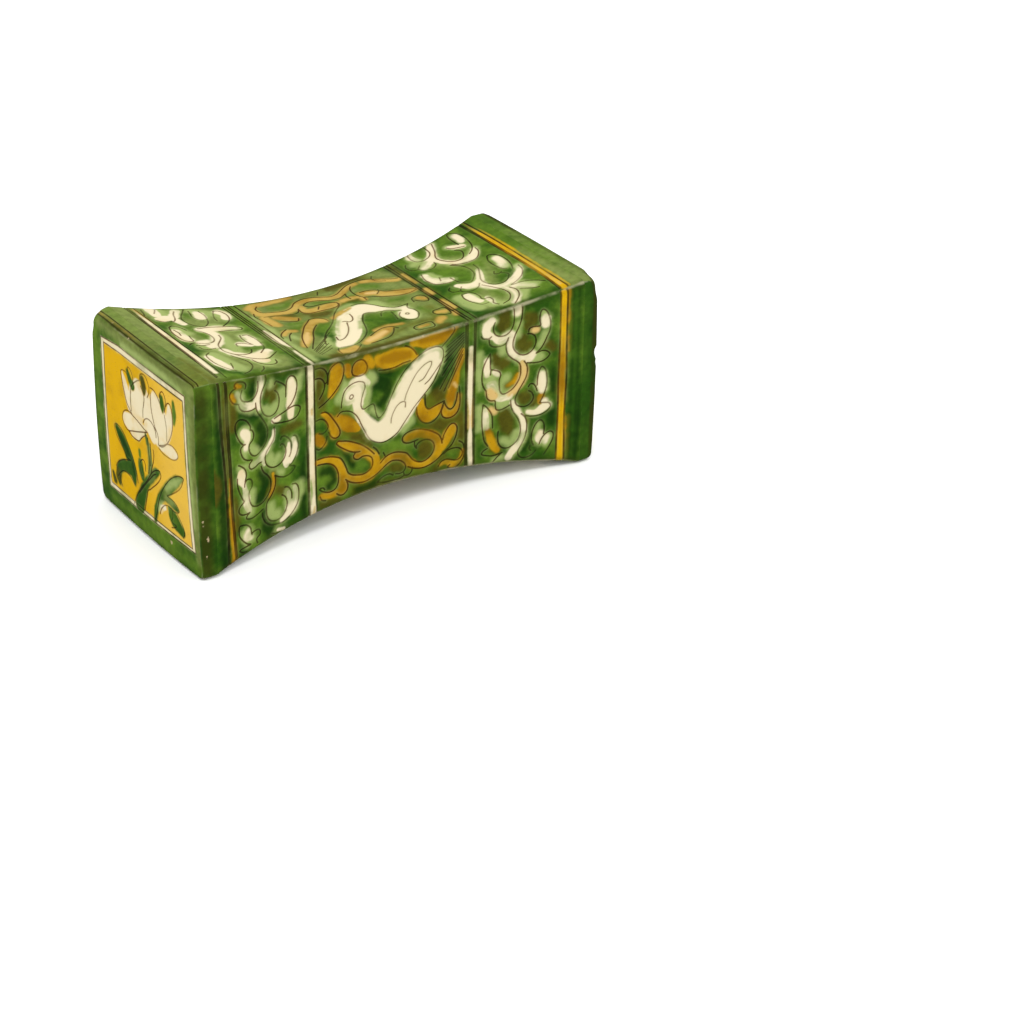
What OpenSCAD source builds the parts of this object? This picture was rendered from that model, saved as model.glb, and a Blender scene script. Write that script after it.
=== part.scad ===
// Waisted block pillow of glazed earthenware: four hollowed wall slabs mitred into a square tube,
// a slab over each end, and the clay coils pressed into the seams from inside.
// The length runs along X, and the pillow stands on z = 0 on the lower edges of its end slabs.

/* [Pillow] */
// Overall length, from end face to end face
length = 225; // [170:1:300]
// Side of the square ends
end_size = 100; // [80:1:130]
// Depth of the hollow in each long side, at its middle
waist_sag = 13; // [6:0.5:18]
// Rounding of the four long edges, where they meet the ends
corner_r = 4; // [3:0.5:9]
// Rounding of the four long edges, at the waist
edge_r = 1.5; // [1:0.5:3]
// Rounding of the rim round each end face
rim_r = 2.5; // [1.5:0.5:4.5]

/* [Slabs] */
// Thickness of the four wall slabs
wall_t = 7; // [5:0.5:10]
// Thickness of the two end slabs
end_t = 9.5; // [6:0.5:12]

/* [Seam coils] */
// Width of a long coil on each of the two walls that it joins
long_coil_w = 8; // [5:0.5:12]
// Width of an end coil on the wall and on the end slab
end_coil_w = 6; // [4:0.5:10]

/* [Firing vent] */
// Diameter of the vent in the right end
vent_d = 7; // [4:0.5:10]
// Distance of the vent from the middle of the end, towards the back
vent_y = 12; // [-25:1:25]
// Height of the vent above the middle of the end
vent_rise = -30; // [-30:1:30]

/* [Incised lines] */
// Distance from the middle of the pillow to the middle of each waist band
waist_band_x = 45; // [30:0.5:52]
// Width of a waist band, between the middles of its two lines
waist_band_w = 5; // [3:0.5:8]
// Distance from each end face to the middle of its end band
end_band_inset = 18; // [14:0.5:22]
// Width of an end band, between the middles of its two lines
end_band_w = 5; // [3:0.5:8]
// Distance from the edges of an end slab to the middle of its frame
frame_inset = 10.5; // [8:0.5:15]
// Width of the frame on an end slab, between the middles of its two lines
frame_w = 3.5; // [2:0.5:6]
// Width of an incised line
line_w = 0.8; // [0.5:0.1:1.2]
// Depth of an incised line
line_depth = 0.5; // [0.3:0.1:0.8]

/* [Hidden] */
$fn = 180;
glaze_green = "#2f6b25";
glaze_amber = "#c08a12";
clay_buff = "#c9a987";

half = end_size / 2;
wall_length = length - 2 * end_t;
inner_half = half - wall_t;
// A cutter reaches this far past the surface that it cuts
past = 5;
// The long edges are rounded by hollowed facets that stand at these angles to the wall
facet_angles = [-45, -22.5, 0, 22.5, 45];

// How far the four sides stand out at an angle from a wall's own direction
function spread(angle) = cos(angle) + abs(sin(angle));

// Distance from the long axis to the facet at an angle, on a square of half width h rounded by r
function reach(angle, h, r) = (h - r) * spread(angle) + r;

// Radius of the arc that spans the walls with a given hollow
function waist_radius(sag) = (pow(wall_length / 2, 2) + sag * sag) / (2 * sag);

// Depth of the hollow at a distance x from the middle
function hollow_at(x) = sqrt(pow(waist_radius(waist_sag), 2) - x * x) - waist_radius(waist_sag) + waist_sag;

// Places along a wall of the lines that edge its four bands
function band_lines() = [
    for (side = [-1, 1], edge = [-0.5, 0.5])
        each [
            side * (waist_band_x + edge * waist_band_w),
            side * (length / 2 - end_band_inset + edge * end_band_w)
        ]
];

// Lifts what is made about the long axis onto the surface that the pillow stands on
module stand() {
    translate([0, 0, half])
        children();
}

// Turns a piece of the top to another side: 0 top, 1 front, 2 bottom, 3 back
module to_side(quarter_turns) {
    rotate([90 * quarter_turns, 0, 0])
        children();
}

// Length by height outline hollowed above and below, to half height h where the walls end
module waisted_outline(h, sag) {
    difference() {
        square([length, 2 * (h + end_t)], center = true);
        for (side = [-1, 1])
            translate([0, side * (h - sag + waist_radius(sag))])
                circle(r = waist_radius(sag), $fn = 1440);
    }
}

// The waisted outline drawn right across the pillow, hollowed on top and underneath
module waisted_block(h, sag) {
    rotate([90, 0, 0])
        linear_extrude(2 * end_size, center = true)
            waisted_outline(h, sag);
}

// The quarter of the tube's space that belongs to the top, between the end slabs and two mitres
module top_quarter() {
    rotate([90, 0, 90])
        linear_extrude(wall_length, center = true)
            polygon([[0, 0], [end_size, end_size], [-end_size, end_size]]);
}

// The inside corners of the tube, beyond the hollowed faces of the four long coils
module inner_corners() {
    difference() {
        cube([length + past, end_size, end_size], center = true);
        intersection_for(side = [-1, 1])
            rotate([45 * side, 0, 0])
                waisted_block(inner_half * spread(45) - long_coil_w * sin(45), waist_sag * spread(45));
    }
}

// Lines incised across the top wall, at both edges of each band
module band_grooves() {
    for (x = band_lines())
        translate([x, 0, half - hollow_at(x) - line_depth + past / 2])
            cube([line_w, end_size, past], center = true);
}

// The top wall: hollowed on its outside and inside, mitred to its neighbours along both sides
module wall_slab() {
    color(glaze_green)
        difference() {
            intersection() {
                top_quarter();
                intersection_for(angle = facet_angles)
                    rotate([angle, 0, 0])
                        waisted_block(
                            reach(angle, half, corner_r),
                            reach(angle, half, corner_r) - reach(angle, half - waist_sag, edge_r)
                        );
            }
            waisted_block(inner_half, waist_sag);
            band_grooves();
        }
}

// A square with rounded corners
module rounded_square(size, r) {
    square([size, size - 2 * r], center = true);
    square([size - 2 * r, size], center = true);
    for (u = [-1, 1], v = [-1, 1])
        translate([u, v] * (size / 2 - r))
            circle(r = r);
}

// Thickness by width outline of the right end slab, rounded at the rim of its outer face
module rimmed_outline() {
    translate([wall_length / 2, -half])
        square([end_t - rim_r, end_size]);
    translate([wall_length / 2, rim_r - half])
        square([end_t, end_size - 2 * rim_r]);
    for (side = [-1, 1])
        translate([length / 2 - rim_r, side * (half - rim_r)])
            circle(r = rim_r);
}

// The two square lines that frame the picture on the right end slab
module frame_grooves() {
    for (edge = [-0.5, 0.5]) {
        reach_out = half - frame_inset + edge * frame_w;
        for (turn = [0 : 90 : 270])
            rotate([turn, 0, 0])
                translate([length / 2 - line_depth + past / 2, 0, reach_out])
                    cube([past, 2 * reach_out + line_w, line_w], center = true);
    }
}

// The right end slab, with its rounded corners, its rounded rim and its incised frame
module end_slab() {
    color(glaze_amber)
        difference() {
            intersection() {
                rotate([90, 0, 90])
                    linear_extrude(length, center = true)
                        rounded_square(end_size, corner_r);
                linear_extrude(end_size, center = true)
                    rimmed_outline();
                rotate([90, 0, 0])
                    linear_extrude(end_size, center = true)
                        rimmed_outline();
            }
            frame_grooves();
        }
}

// Hole through the right end slab that lets the hot air out in the kiln
module vent_bore() {
    translate([length / 2 - end_t / 2, vent_y, vent_rise])
        rotate([0, 90, 0])
            cylinder(d = vent_d, h = end_t + 2 * past, center = true);
}

// Coil pressed into the inside corner between the top wall and the back wall
module seam_coil() {
    color(clay_buff)
        intersection() {
            waisted_block(inner_half, waist_sag);
            rotate([90, 0, 0])
                waisted_block(inner_half, waist_sag);
            inner_corners();
            translate([-wall_length / 2, 0, 0])
                cube([wall_length, half, half]);
        }
}

// Coil pressed into the corner between the top wall and the right end slab, between two long coils
module end_coil() {
    inner_x = wall_length / 2;
    reach_in = inner_x - end_coil_w;
    color(clay_buff)
        difference() {
            intersection() {
                top_quarter();
                waisted_block(inner_half, waist_sag);
                rotate([90, 0, 0])
                    linear_extrude(end_size, center = true)
                        polygon([
                            [inner_x, inner_half - end_coil_w],
                            [inner_x, half],
                            [reach_in, half],
                            [reach_in, inner_half - hollow_at(reach_in)]
                        ]);
            }
            inner_corners();
        }
}

// The four end coils of one end share a module: end 0 is the right end, 1 the left
module end_coil_at(end, quarter_turns) {
    mirror([end, 0, 0])
        to_side(quarter_turns)
            end_coil();
}

stand() to_side(0) wall_slab();  // top_slab
stand() to_side(1) wall_slab();  // front_slab
stand() to_side(2) wall_slab();  // bottom_slab
stand() to_side(3) wall_slab();  // back_slab
stand() mirror([1, 0, 0]) end_slab();  // left_end_slab
stand() difference() { end_slab(); vent_bore(); }  // right_end_slab
stand() to_side(0) seam_coil();  // seam_coil_top_back
stand() to_side(1) seam_coil();  // seam_coil_top_front
stand() to_side(2) seam_coil();  // seam_coil_bottom_front
stand() to_side(3) seam_coil();  // seam_coil_bottom_back
stand() end_coil_at(0, 0);  // right_coil_top
stand() end_coil_at(0, 1);  // right_coil_front
stand() end_coil_at(0, 2);  // right_coil_bottom
stand() end_coil_at(0, 3);  // right_coil_back
stand() end_coil_at(1, 0);  // left_coil_top
stand() end_coil_at(1, 1);  // left_coil_front
stand() end_coil_at(1, 2);  // left_coil_bottom
stand() end_coil_at(1, 3);  // left_coil_back
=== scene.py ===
"""Dresses the waisted ceramic pillow with its glazed and incised slabs, and sets up the studio."""

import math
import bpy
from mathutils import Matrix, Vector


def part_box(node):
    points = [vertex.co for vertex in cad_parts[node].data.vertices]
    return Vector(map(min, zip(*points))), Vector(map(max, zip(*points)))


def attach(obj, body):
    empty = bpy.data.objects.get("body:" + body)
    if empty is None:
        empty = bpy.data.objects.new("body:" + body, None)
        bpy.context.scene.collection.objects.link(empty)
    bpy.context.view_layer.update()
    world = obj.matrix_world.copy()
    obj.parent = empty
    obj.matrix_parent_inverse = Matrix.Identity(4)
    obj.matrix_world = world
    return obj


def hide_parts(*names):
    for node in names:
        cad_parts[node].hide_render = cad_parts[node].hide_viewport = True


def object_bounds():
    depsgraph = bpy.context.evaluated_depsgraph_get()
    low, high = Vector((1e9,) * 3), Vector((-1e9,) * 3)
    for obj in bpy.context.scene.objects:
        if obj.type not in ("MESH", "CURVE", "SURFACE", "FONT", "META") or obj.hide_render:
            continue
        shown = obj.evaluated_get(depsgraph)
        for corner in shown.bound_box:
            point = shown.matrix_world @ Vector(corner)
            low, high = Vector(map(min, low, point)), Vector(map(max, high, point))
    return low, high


bl_info = {
    "name": "Waisted Ceramic Pillow",
    "version": (1, 0, 0),
    "blender": (4, 5, 0),
    "location": "3D View > Sidebar > Pillow",
    "description": "Builds the glazed slabs of a waisted ceramic pillow, its clay coils and its studio",
    "category": "Object",
}

from types import SimpleNamespace

import bmesh
import bpy
import numpy as np
from bpy.props import FloatProperty, FloatVectorProperty, PointerProperty
from mathutils import Matrix, Vector

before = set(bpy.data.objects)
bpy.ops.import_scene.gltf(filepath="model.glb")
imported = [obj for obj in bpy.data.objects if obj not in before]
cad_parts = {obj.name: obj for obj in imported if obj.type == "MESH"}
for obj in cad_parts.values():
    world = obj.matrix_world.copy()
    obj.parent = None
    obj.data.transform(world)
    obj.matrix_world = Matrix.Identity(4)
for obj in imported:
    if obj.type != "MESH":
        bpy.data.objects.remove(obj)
CAD_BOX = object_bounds()

MM = 0.001

# Keeps a division from being by nothing
TINY = 1e-6

# Sizes of the plain solids, in millimetres, as model.glb gives them
LENGTH = (CAD_BOX[1].x - CAD_BOX[0].x) / MM
HALF = (CAD_BOX[1].z - CAD_BOX[0].z) / MM / 2
WALL_LENGTH = (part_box("top_slab")[1].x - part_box("top_slab")[0].x) / MM
END_T = (LENGTH - WALL_LENGTH) / 2
INNER_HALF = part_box("seam_coil_top_back")[1].z / MM - HALF
WAIST_SAG = INNER_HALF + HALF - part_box("top_slab")[0].z / MM
WAIST_RADIUS = ((WALL_LENGTH / 2) ** 2 + WAIST_SAG ** 2) / (2 * WAIST_SAG)

# Quarter turns about the length that carry a wall slab from the top to its own side
WALLS = {"top_slab": 0, "front_slab": 1, "bottom_slab": 2, "back_slab": 3}

# Which way along the length each end slab faces
ENDS = {"left_end_slab": -1, "right_end_slab": 1}

COILS = [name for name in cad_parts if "coil" in name]

# How far the drawings on the walls sit to the left of the middle
DRAWN_LEFT = 1.2

# Glazes in the order in which they are laid over the green ground
GLAZES = (
    "green", "leaf", "sage", "moss", "deep_and_shade", "olive", "pale",
    "gold", "wash", "amber", "honey", "tan", "cream", "slip",
)

# How far from a line and from a stroke distances are worked out, and what stands for anything farther
LINE_REACH = 4.0
STROKE_REACH = 6.0
FAR = 9.0

# Drawings are in millimetres on the face that they belong to, from its middle.
# A line is a smooth curve through its points, which give along and across by turns.
# A stroke of glaze gives along, across and half width by turns, and is thin where that is below zero.

# Broad washes under the drawing on the front
FRONT_WASH = (
    ("leaf", (-66, 32, 2, -64, 24, 2)),
    ("leaf", (-68, 0, 2, -64, -1, 2)),
    ("leaf", (-66, -26, 2, -64, -30, 2)),
    ("leaf", (66, 6, 2, 63, 2, 2)),
    ("leaf", (66, -26, 2, 70, -22, 2)),
    ("leaf", (80, 22, 2, 84, 12, 2)),
    ("moss", (-40, 38, 2, -38, 20, 3, -40, 12, 2)),
    ("moss", (-30, 12, 2, -26, 4, 4, -16, -6, 3)),
    ("moss", (16, 4, 4, 24, 2, 5, 34, -10, 7, 38, -22, 5, 22, -22, 5)),
    ("moss", (-20, 36, 3, -8, 36, 3, 6, 36, 3)),
    ("moss", (-20, -34, 2, 10, -37, 2, 30, -38, 2)),
)

# Incised lines beside the bands on the front
FRONT_BAND_LINES = (
    (-97.4, 48, -96.9, 25, -95.8, 10, -95.2, 0, -94.8, -22, -95, -47),
    (-96.9, 48, -96.3, 25, -95.3, 8, -94.6, -6, -94.3, -22, -94.4, -47),
    (-93.3, 47, -93.2, 25, -92.4, 3, -92, -20, -90.6, -46),
    (-92.6, 47, -92.1, 22, -91.4, 0, -91.2, -20, -90, -44),
    (-46.9, 42, -47, 0, -46.7, -41),
    (-46.2, 42, -46.4, 0, -46, -41),
    (-42.2, 42, -42.3, 0, -42, -40),
    (42.3, 42, 42.5, 0, 42.4, -41),
    (43.2, 42, 43.2, 20, 43, 0, 43.1, -41),
    (47, 42, 46.6, 0, 46.8, -41),
    (47.8, 42, 47.3, 15, 47.2, -41),
    (92.1, 48, 92.2, 20, 91.8, 0, 92, -15, 91.5, -46),
    (95.6, 48, 95.6, 20, 96, 0, 95.4, -20, 95.8, -46),
)

# The bands on the front, and the runs of glaze beside them
FRONT_BAND_PAINT = (
    ("green", (100.6, 48, 2.8, 100.6, -48, 2.8)),
    ("deep_and_shade", (-98.5, 46, 1.8, -97.5, 20, 2.2, -96.5, 0, 2.6, -96.7, -46, 2.8)),
    # The deep green at the right end of the wall is pooled glaze and also painted shade, on its rounded
    # edge and darkest towards its lower corner
    ("deep_and_shade", (102.8, -6, 0.2, 102.6, -24, 0.7, 101.4, -46, 1.2)),
    ("deep_and_shade", (98.6, 46, 0, 98.6, 0, 0.1, 98.4, -46, 0.3)),
    ("deep_and_shade", (101.6, 46, 0, 101.6, 0, 0.1, 101.2, -46, 0.3)),
    ("olive", (-94.6, 46, 0.6, -94, 20, 0.8, -93.6, 0, 0.6)),
    ("olive", (-102, 5, 0.5, -101, -3, 2.4, -102, -12, 1)),
    ("amber", (-92.6, -2, 0.3, -92.6, -10, 0.5, -92.4, -24, 0.7, -91.6, -46, 0.9)),
    ("moss", (-91.6, 44, 0.8, -90.6, 36, 1.6, -90.4, 24, 1)),
    ("slip", (-44.2, 42, 1.6, -44.4, 20, 1.5, -44.4, 0, 1.5, -44.2, -39, 1.6)),
    ("tan", (-44, 16.5, 0.5, -44, 14, 0.6)),
    ("pale", (-45.6, 9, 0.2, -45.2, 3, 0.5, -45.6, -2, 0.1)),
    ("pale", (-45.4, -20, 0.3, -45, -26, 0.7, -45.4, -33, 0.3)),
    ("pale", (-43, 30, 0.1, -43.2, 26, 0.3)),
    ("tan", (-43.4, -35, 0.4, -44, -38, 0.8)),
    ("tan", (45.2, -3, 1.2, 45.2, -17, 1.4)),
    ("slip", (45.2, 25, 1, 45.2, 16, 1.5, 45, 0, 1.4, 45, -8, 0.6, 45.1, -16, 0.4, 45, -22, 1.2,
              45, -30, 1.4, 45.4, -38, 1.2)),
    ("amber", (93.9, 14, 1.5, 93.8, 4, 1.2, 93.8, -12, 1.4)),
    ("gold", (93.9, 48, 1.6, 93.8, 22, 1.5, 93.9, 13, 1.3)),
    ("gold", (93.8, -9, 1.3, 93.8, -25, 1.7, 93.6, -46, 1.8)),
    ("amber", (96.4, 47, 0.3, 96.4, 28, 0.2, 96.6, 14, 0)),
    ("amber", (96.4, -22, 0.2, 96.2, -30, 0.2, 96, -46, 0.1)),
    ("honey", (93.9, 48, -0.6, 93.8, 22, -0.4, 93.8, 14, 0.4, 93.8, -10, 0.6, 93.8, -18, -0.5,
               93.6, -46, -0.9)),
    ("honey", (-92.6, -14, -0.6, -92.2, -30, -0.2, -91.6, -46, 0)),
)

# Scrolls in the left panel of the front: their incised lines, then their glazes
FRONT_LEFT_LINES = (
    (-87, 42, -88, 43.2, -86.8, 44.3, -84.3, 44, -82.1, 42.9, -81.3, 41.3, -81.8, 39.8),
    (-87, 41.8, -89.3, 41.3, -90.6, 40.1, -90.8, 38.5, -89.9, 36.3, -88.3, 34.4, -86.4, 33.6,
     -85.6, 33.2),
    (-85.8, 33, -85.2, 31, -83.3, 29, -80.5, 28, -77.7, 27.8, -76, 28.2),
    (-83.7, 39.5, -84.6, 36.6, -83.7, 34.4, -81.7, 33.2, -79.2, 32.7, -76.7, 33.5, -75.2, 35.4,
     -74.4, 37.9, -74.4, 41),
    (-76, 30.5, -75.8, 28, -75, 25.5, -73, 22.3, -70.8, 18.5, -69.6, 15.4, -69.6, 12.2, -70.5, 9,
     -72.4, 6.6, -76.4, 4, -78.6, 4.7, -80, 6.6, -80.6, 9, -80.2, 11, -78.7, 12.2, -77.8, 13.8,
     -77.7, 15.7, -78.6, 17.6, -79.6, 18.2),
    (-79.5, 18.2, -79.4, 19.7, -80.2, 21.3, -81.7, 23.5, -83.9, 24.9, -85.8, 25.4, -87.7, 24.4,
     -88.3, 22.6, -88, 19.7, -87, 16.9, -85.5, 14, -83.6, 11.9, -82.7, 11.7),
    (-83, 12, -85.2, 10.8, -85.5, 9.7, -84.9, 6.9, -83.6, 4.7, -81.4, 3.2, -78.9, 2.4, -80.5, 1,
     -80.8, -0.6, -79.6, -2, -77.4, -1.8, -74.9, -0.6, -73.6, -0.6),
    (-70, 44, -69.7, 41, -70.2, 38.5, -71.4, 36.6, -72.7, 34, -73.3, 30.4, -72.7, 26, -70.8, 22.6,
     -68, 21.1, -65.2, 21.6, -63.3, 23.8, -62.5, 26.9, -62.7, 29.7, -63.6, 31.9, -64.9, 33.2),
    (-64.9, 36.3, -64.2, 37.6, -62.4, 36.6, -60.2, 35, -58.6, 33.2, -58.5, 31, -58.6, 27.9),
    (-58.3, 32.6, -57.9, 35.4, -56.7, 37.1, -55.5, 37.5, -53.6, 36.6, -52.4, 34.4, -52.1, 31.6,
     -52.7, 28.5, -53.9, 25.7, -55.8, 23.2, -57.7, 21.9),
    (-65.5, 19, -63, 19.7, -59.2, 20.7, -55.5, 21.7, -52.4, 21.5, -50.5, 20.1, -51.1, 17.6, -53, 15.7,
     -56.1, 15.1, -59.9, 15.4, -63.6, 16.1, -65.8, 16.9, -67.1, 18.5),
    (-65.8, 14.7, -65.5, 11.6, -66.4, 8.5, -68.3, 6, -70.5, 3.5, -71.4, 1, -71.1, -2, -69.2, -4.6,
     -66.1, -5.9, -62.7, -5.2, -60.2, -3.1, -59.2, 0.4, -60.2, 3.5, -61.7, 4.7, -62.4, 4.1),
    (-62.1, 6.9, -61.7, 8.2, -59.9, 8.1, -57.7, 6.3, -56.4, 4.4, -56.1, 1.9, -56.4, -1.5, -57.4, -3.4),
    (-54.7, 6.6, -53.6, 6.3, -52.4, 4.1, -52.1, 1, -52.7, -2.1, -54.2, -5.2, -56.1, -7.4, -57.4, -8.2,
     -55.5, -8.8, -54.2, -9.6, -55.5, -11.5, -58, -12.7, -60.5, -12.9, -63.6, -11.8, -66.1, -10.2),
    (-73.9, -2.7, -72.7, -5.9, -70.5, -8.4, -68.9, -10.9, -68.5, -13.7, -68.9, -16.5, -70.8, -19.3,
     -73.6, -21.5, -76.7, -22.2, -79.6, -21.2, -81.1, -18.4, -81.6, -15.2, -81.1, -12.7, -79.9, -11.5,
     -79.4, -9.6, -79.9, -7.4, -82.1, -6.4, -83.6, -7.7, -83.9, -9.6),
    (-87, 2.6, -85.2, 1.3, -83.3, -0.9, -82.7, -4, -83.6, -7),
    (-88, -4, -88, -7.7, -87, -11.5, -85.5, -15.2, -84.6, -17.1, -86.4, -18.4, -87.7, -19.9,
     -87.7, -21.8, -86.1, -23.4, -83.3, -24, -81.4, -23.9, -83, -24.9, -83.6, -26.2, -81.7, -27.2,
     -79.2, -27.2, -76.1, -26.2, -73.6, -25.1),
    (-66, -10.5, -65.8, -12.5, -66.2, -16, -68, -19.2, -70.6, -22, -71.4, -23.4, -71.7, -25.9,
     -71.4, -29.6,
     -69.9, -32.4, -66.7, -33.9, -63.3, -33.4, -60.8, -31.2, -59.4, -27.7, -59.9, -24.3, -61.1, -22.7,
     -62.4, -21.8),
    (-60.5, -18.4, -58.6, -19, -57.1, -20.9, -56.6, -22.7, -56.6, -25.6),
    (-56.1, -18.4, -54.2, -18.7, -52.7, -20.9, -52.4, -24.6, -53, -28.4, -54.9, -31.5, -58, -34.3,
     -61.7, -36, -65.5, -36, -69.2, -35.2, -72.4, -32.7, -73.9, -29.6, -74.2, -27),
    (-88.2, -31, -87.9, -29, -86.1, -28.9, -83.3, -29.9, -81.4, -32.1, -81, -34.6, -80.6, -35.9),
    (-80.8, -35.2, -78.9, -34.5, -76.7, -34.6, -75.8, -35.9, -76.1, -37.7, -77.8, -38.7, -78.1, -40,
     -77.5, -41.5),
    (-88.2, -31, -88, -34, -86.1, -37.1, -83.6, -39.6, -81.7, -40.6, -85.5, -40.9, -88.3, -41.5,
     -86.7, -43, -84, -43.6),
    (-69, -39.8, -67, -40.6, -64, -40.9),
)

FRONT_LEFT_PAINT = (
    ("deep_and_shade", (-77.5, 41, 2, -78, 37, 2.4)),
    ("deep_and_shade", (-84.5, 28.5, 1, -79, 26.5, 1.4, -76, 24.5, 1)),
    ("deep_and_shade", (-74, 18, 2, -72.3, 13, 2, -73.5, 9, 2)),
    ("deep_and_shade", (-74, -6, 2, -71.5, -12, 2.2, -72, -16, 2.4, -76, -18.5, 2.2)),
    ("deep_and_shade", (-72.5, -27, 1, -72, -34, 1.5, -70, -38, 1.8)),
    ("deep_and_shade", (-48.6, -7, 1, -50, -12, 1.6, -49, -18, 1)),
    ("deep_and_shade", (-48.6, -24, 1, -50, -30, 1.6, -49.5, -37, 1.6)),
    ("olive", (-90, 36, 0.9, -89, 30, 1.1, -89.6, 22, 0.8)),
    ("olive", (-69.5, 33, 2, -67, 35.5, 2.4, -66, 30, 2)),
    ("olive", (-60, 11.5, 1.6, -55, 12, 1.8, -51, 11.5, 1.2)),
    ("olive", (-64, -18, 1.4, -61, -20.5, 1.6)),
    ("olive", (-90, -14, 0.6, -89.4, -22, 1.4, -90, -30, 0.8)),
    ("pale", (-60.5, 31, 2, -61.5, 26, 1.6, -62, 22, 1.4)),
    ("pale", (-49.2, 38, 1, -51, 35, 1.4, -51.4, 30, 1)),
    ("pale", (-70.5, 26, 1, -69, 24.2, 1.7, -66, 24, 1.7, -64.5, 26, 1)),
    ("pale", (-67.5, 36, 0.6, -67, 39, 1)),
    ("pale", (-79.5, 8.5, 1.4, -77.5, 6.5, 1.4)),
    ("pale", (-83.5, 8, 1.2, -83, 5, 0.8)),
    ("pale", (-68.5, -0.5, 1.6, -66.5, -3.5, 1.6, -64, -1, 1)),
    ("pale", (-87, 1, 1, -83, 1, 0.7)),
    ("pale", (-79.8, -14, 1.2, -80, -18, 1)),
    ("pale", (-69, -25, 1.4, -68.5, -29.5, 1.7, -65, -30.5, 1.6)),
    ("pale", (-51, -19, 1.2, -50.6, -24, 1.2)),
    ("pale", (-86, -33, 0.8, -84, -40, 0.6)),
    ("pale", (-67, -7.5, 1, -62, -10, 1)),
    ("amber", (-86.5, 42.8, 0.9, -84.5, 42, 0.7)),
    ("amber", (-89.6, 38.5, 0.8, -88.6, 35.8, 0.8)),
    ("amber", (-67.2, -8.8, 0.7, -66.9, -13, 1, -67.8, -17, 1.1, -69.6, -20, 0.6)),
    ("cream", (-86.4, 38.8, 0.9, -84.8, 36, 1.1, -83.6, 32.6, 1.5, -80.5, 30.3, 1.8, -77, 30.2, 1.7,
               -74.8, 33, 1.6, -73.2, 38, 1.9, -72, 44, 1.9)),
    ("cream", (-75.3, 30, 1.2, -74.4, 27.6, 0.8)),
    ("cream", (-83.8, 18, 1.5, -82, 16.4, 2.2, -81.4, 13.8, 1.6, -82.6, 10.2, 1.1)),
    ("cream", (-55.5, 35.6, 1.4, -55, 31.5, 2.3, -55.8, 26.5, 2, -56.4, 23, 1.6)),
    ("cream", (-55.8, 20.3, 1.5, -56, 17.2, 1.5)),
    ("cream", (-66, 18.2, 1.1, -63.4, 18.4, 1.4)),
    ("cream", (-66, 13, 0.5, -66.8, 9.5, 0.9, -69.4, 6, 1.1, -72, 3, 1.4, -75, 1, 1.2, -79, 0, 1)),
    ("cream", (-73, 1, 1.2, -72, -2.4, 0.7)),
    ("cream", (-57.6, 3.4, 0.8, -58, -1, 1.7, -59, -5.4, 2, -59.2, -7.4, 1.2)),
    ("cream", (-54.8, 5, 1, -54, 1, 1.4, -55, -3, 1.7, -56.8, -6, 1.2)),
    ("cream", (-86, -1.6, 1.8, -85.6, -5, 2.4, -84.4, -9, 1.3, -83.4, -14, 1.6, -82.9, -19, 2,
               -81.6, -22.6, 1.3)),
    ("cream", (-54.6, -20.4, 1.3, -54.2, -25, 1.6, -55.6, -29.6, 2, -59.4, -33, 1.5, -63, -35, 0.8)),
    ("cream", (-58.4, -22, 1, -58, -26.5, 1.6, -58.6, -30, 1.2)),
    ("cream", (-82.8, -33.4, 1.2, -83.6, -36, 1.5, -81.6, -37, 0.9)),
    ("cream", (-65.6, -39.2, 0.4, -62, -39.8, 0.8)),
)

# The goose in the middle of the front
GOOSE_OUTLINE = (
    -27, 12, -26.7, 14.5, -26.3, 16.6, -25.1, 19.7, -22.6, 21.9, -19.1, 22.9, -16, 22.6, -13.8, 21.3,
    -13.3, 19.1, -14.1, 16.9, -14.7, 15.4, -15.4, 12.9, -15.7, 10.1, -15.1, 8.2, -14.1, 7.6, -12.2, 8.2,
    -10.4, 8.8, -8.8, 8.8, -8.1, 7.6, -7.7, 5.4, -7.1, 2.9, -6.3, 0.9, -5.4, 0.5, -4.1, 1.3, -2.2, 3.2,
    -0.7, 5.7, 1.5, 10, 4.2, 15.2, 7.4, 19.7, 11.1, 23.5, 15.5, 26.6, 19.9, 28.8, 24.2, 29.9, 27.7, 29.6,
    29.6, 28.2, 30.2, 26, 29.9, 22.9, 28.4, 19, 25.5, 12.9, 23, 9.7, 19.9, 6.6, 16.7, 3.5, 13.6, 0.4,
    10.5, -3.4, 7.4, -7.1, 4.9, -9.9, 1.7, -11.8, -1, -12.7, -2.9, -13, -5.4, -12.6, -7.9, -11.5,
    -10.1, -9.9, -11.9, -7.7, -13.5, -4.6, -14.7, -2.1, -16, 0.7, -17.2, 3.5, -19.1, 6.3, -21.6, 8.5,
    -24.7, 9.7, -27.2, 9.9, -29.4, 8.2,
)

GOOSE_PAINT = (
    ("cream", (-22, 17, 4.6, -18.5, 18, 4.8, -17.5, 12, 3, -16.6, 6, 2.8, -13, 0, 3.4, -8, -6, 4.4,
               -3, -7, 5.8, 3, -3, 6.4, 9, 6, 8.2, 16, 15, 8, 22, 22, 7, 25.5, 25.4, 4.4)),
    ("cream", (-20, 22.5, 2.4, -15, 23, 2, -12, 21, 1.6)),
    ("pale", (-13.5, 9, 1.4, -12, 15, 1.2, -12, 19, 1)),
)

GOOSE_LINES = (
    GOOSE_OUTLINE,
    (-22.2, 16, -21.6, 17, -20.5, 17, -20, 15.9, -20.9, 15, -22, 15.3, -22.2, 16),
    (1.1, -4, 1.4, -1.5, 2.7, 1.6, 4.9, 4.4, 7.4, 5.5, 9.1, 5, 9.2, 2.2),
    (8.9, 6, 9.6, 8.5, 11.1, 11.6, 13.3, 15.4, 16.1, 19.1, 19.2, 21.6, 22.4, 22.9, 23.7, 22.7, 23.6, 21,
     21.7, 17.9, 19.2, 14.7, 17, 13.8),
    (29.2, 21.3, 27.4, 19.1, 24.9, 16, 22.4, 13.2, 20.2, 11.7),
)

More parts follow.
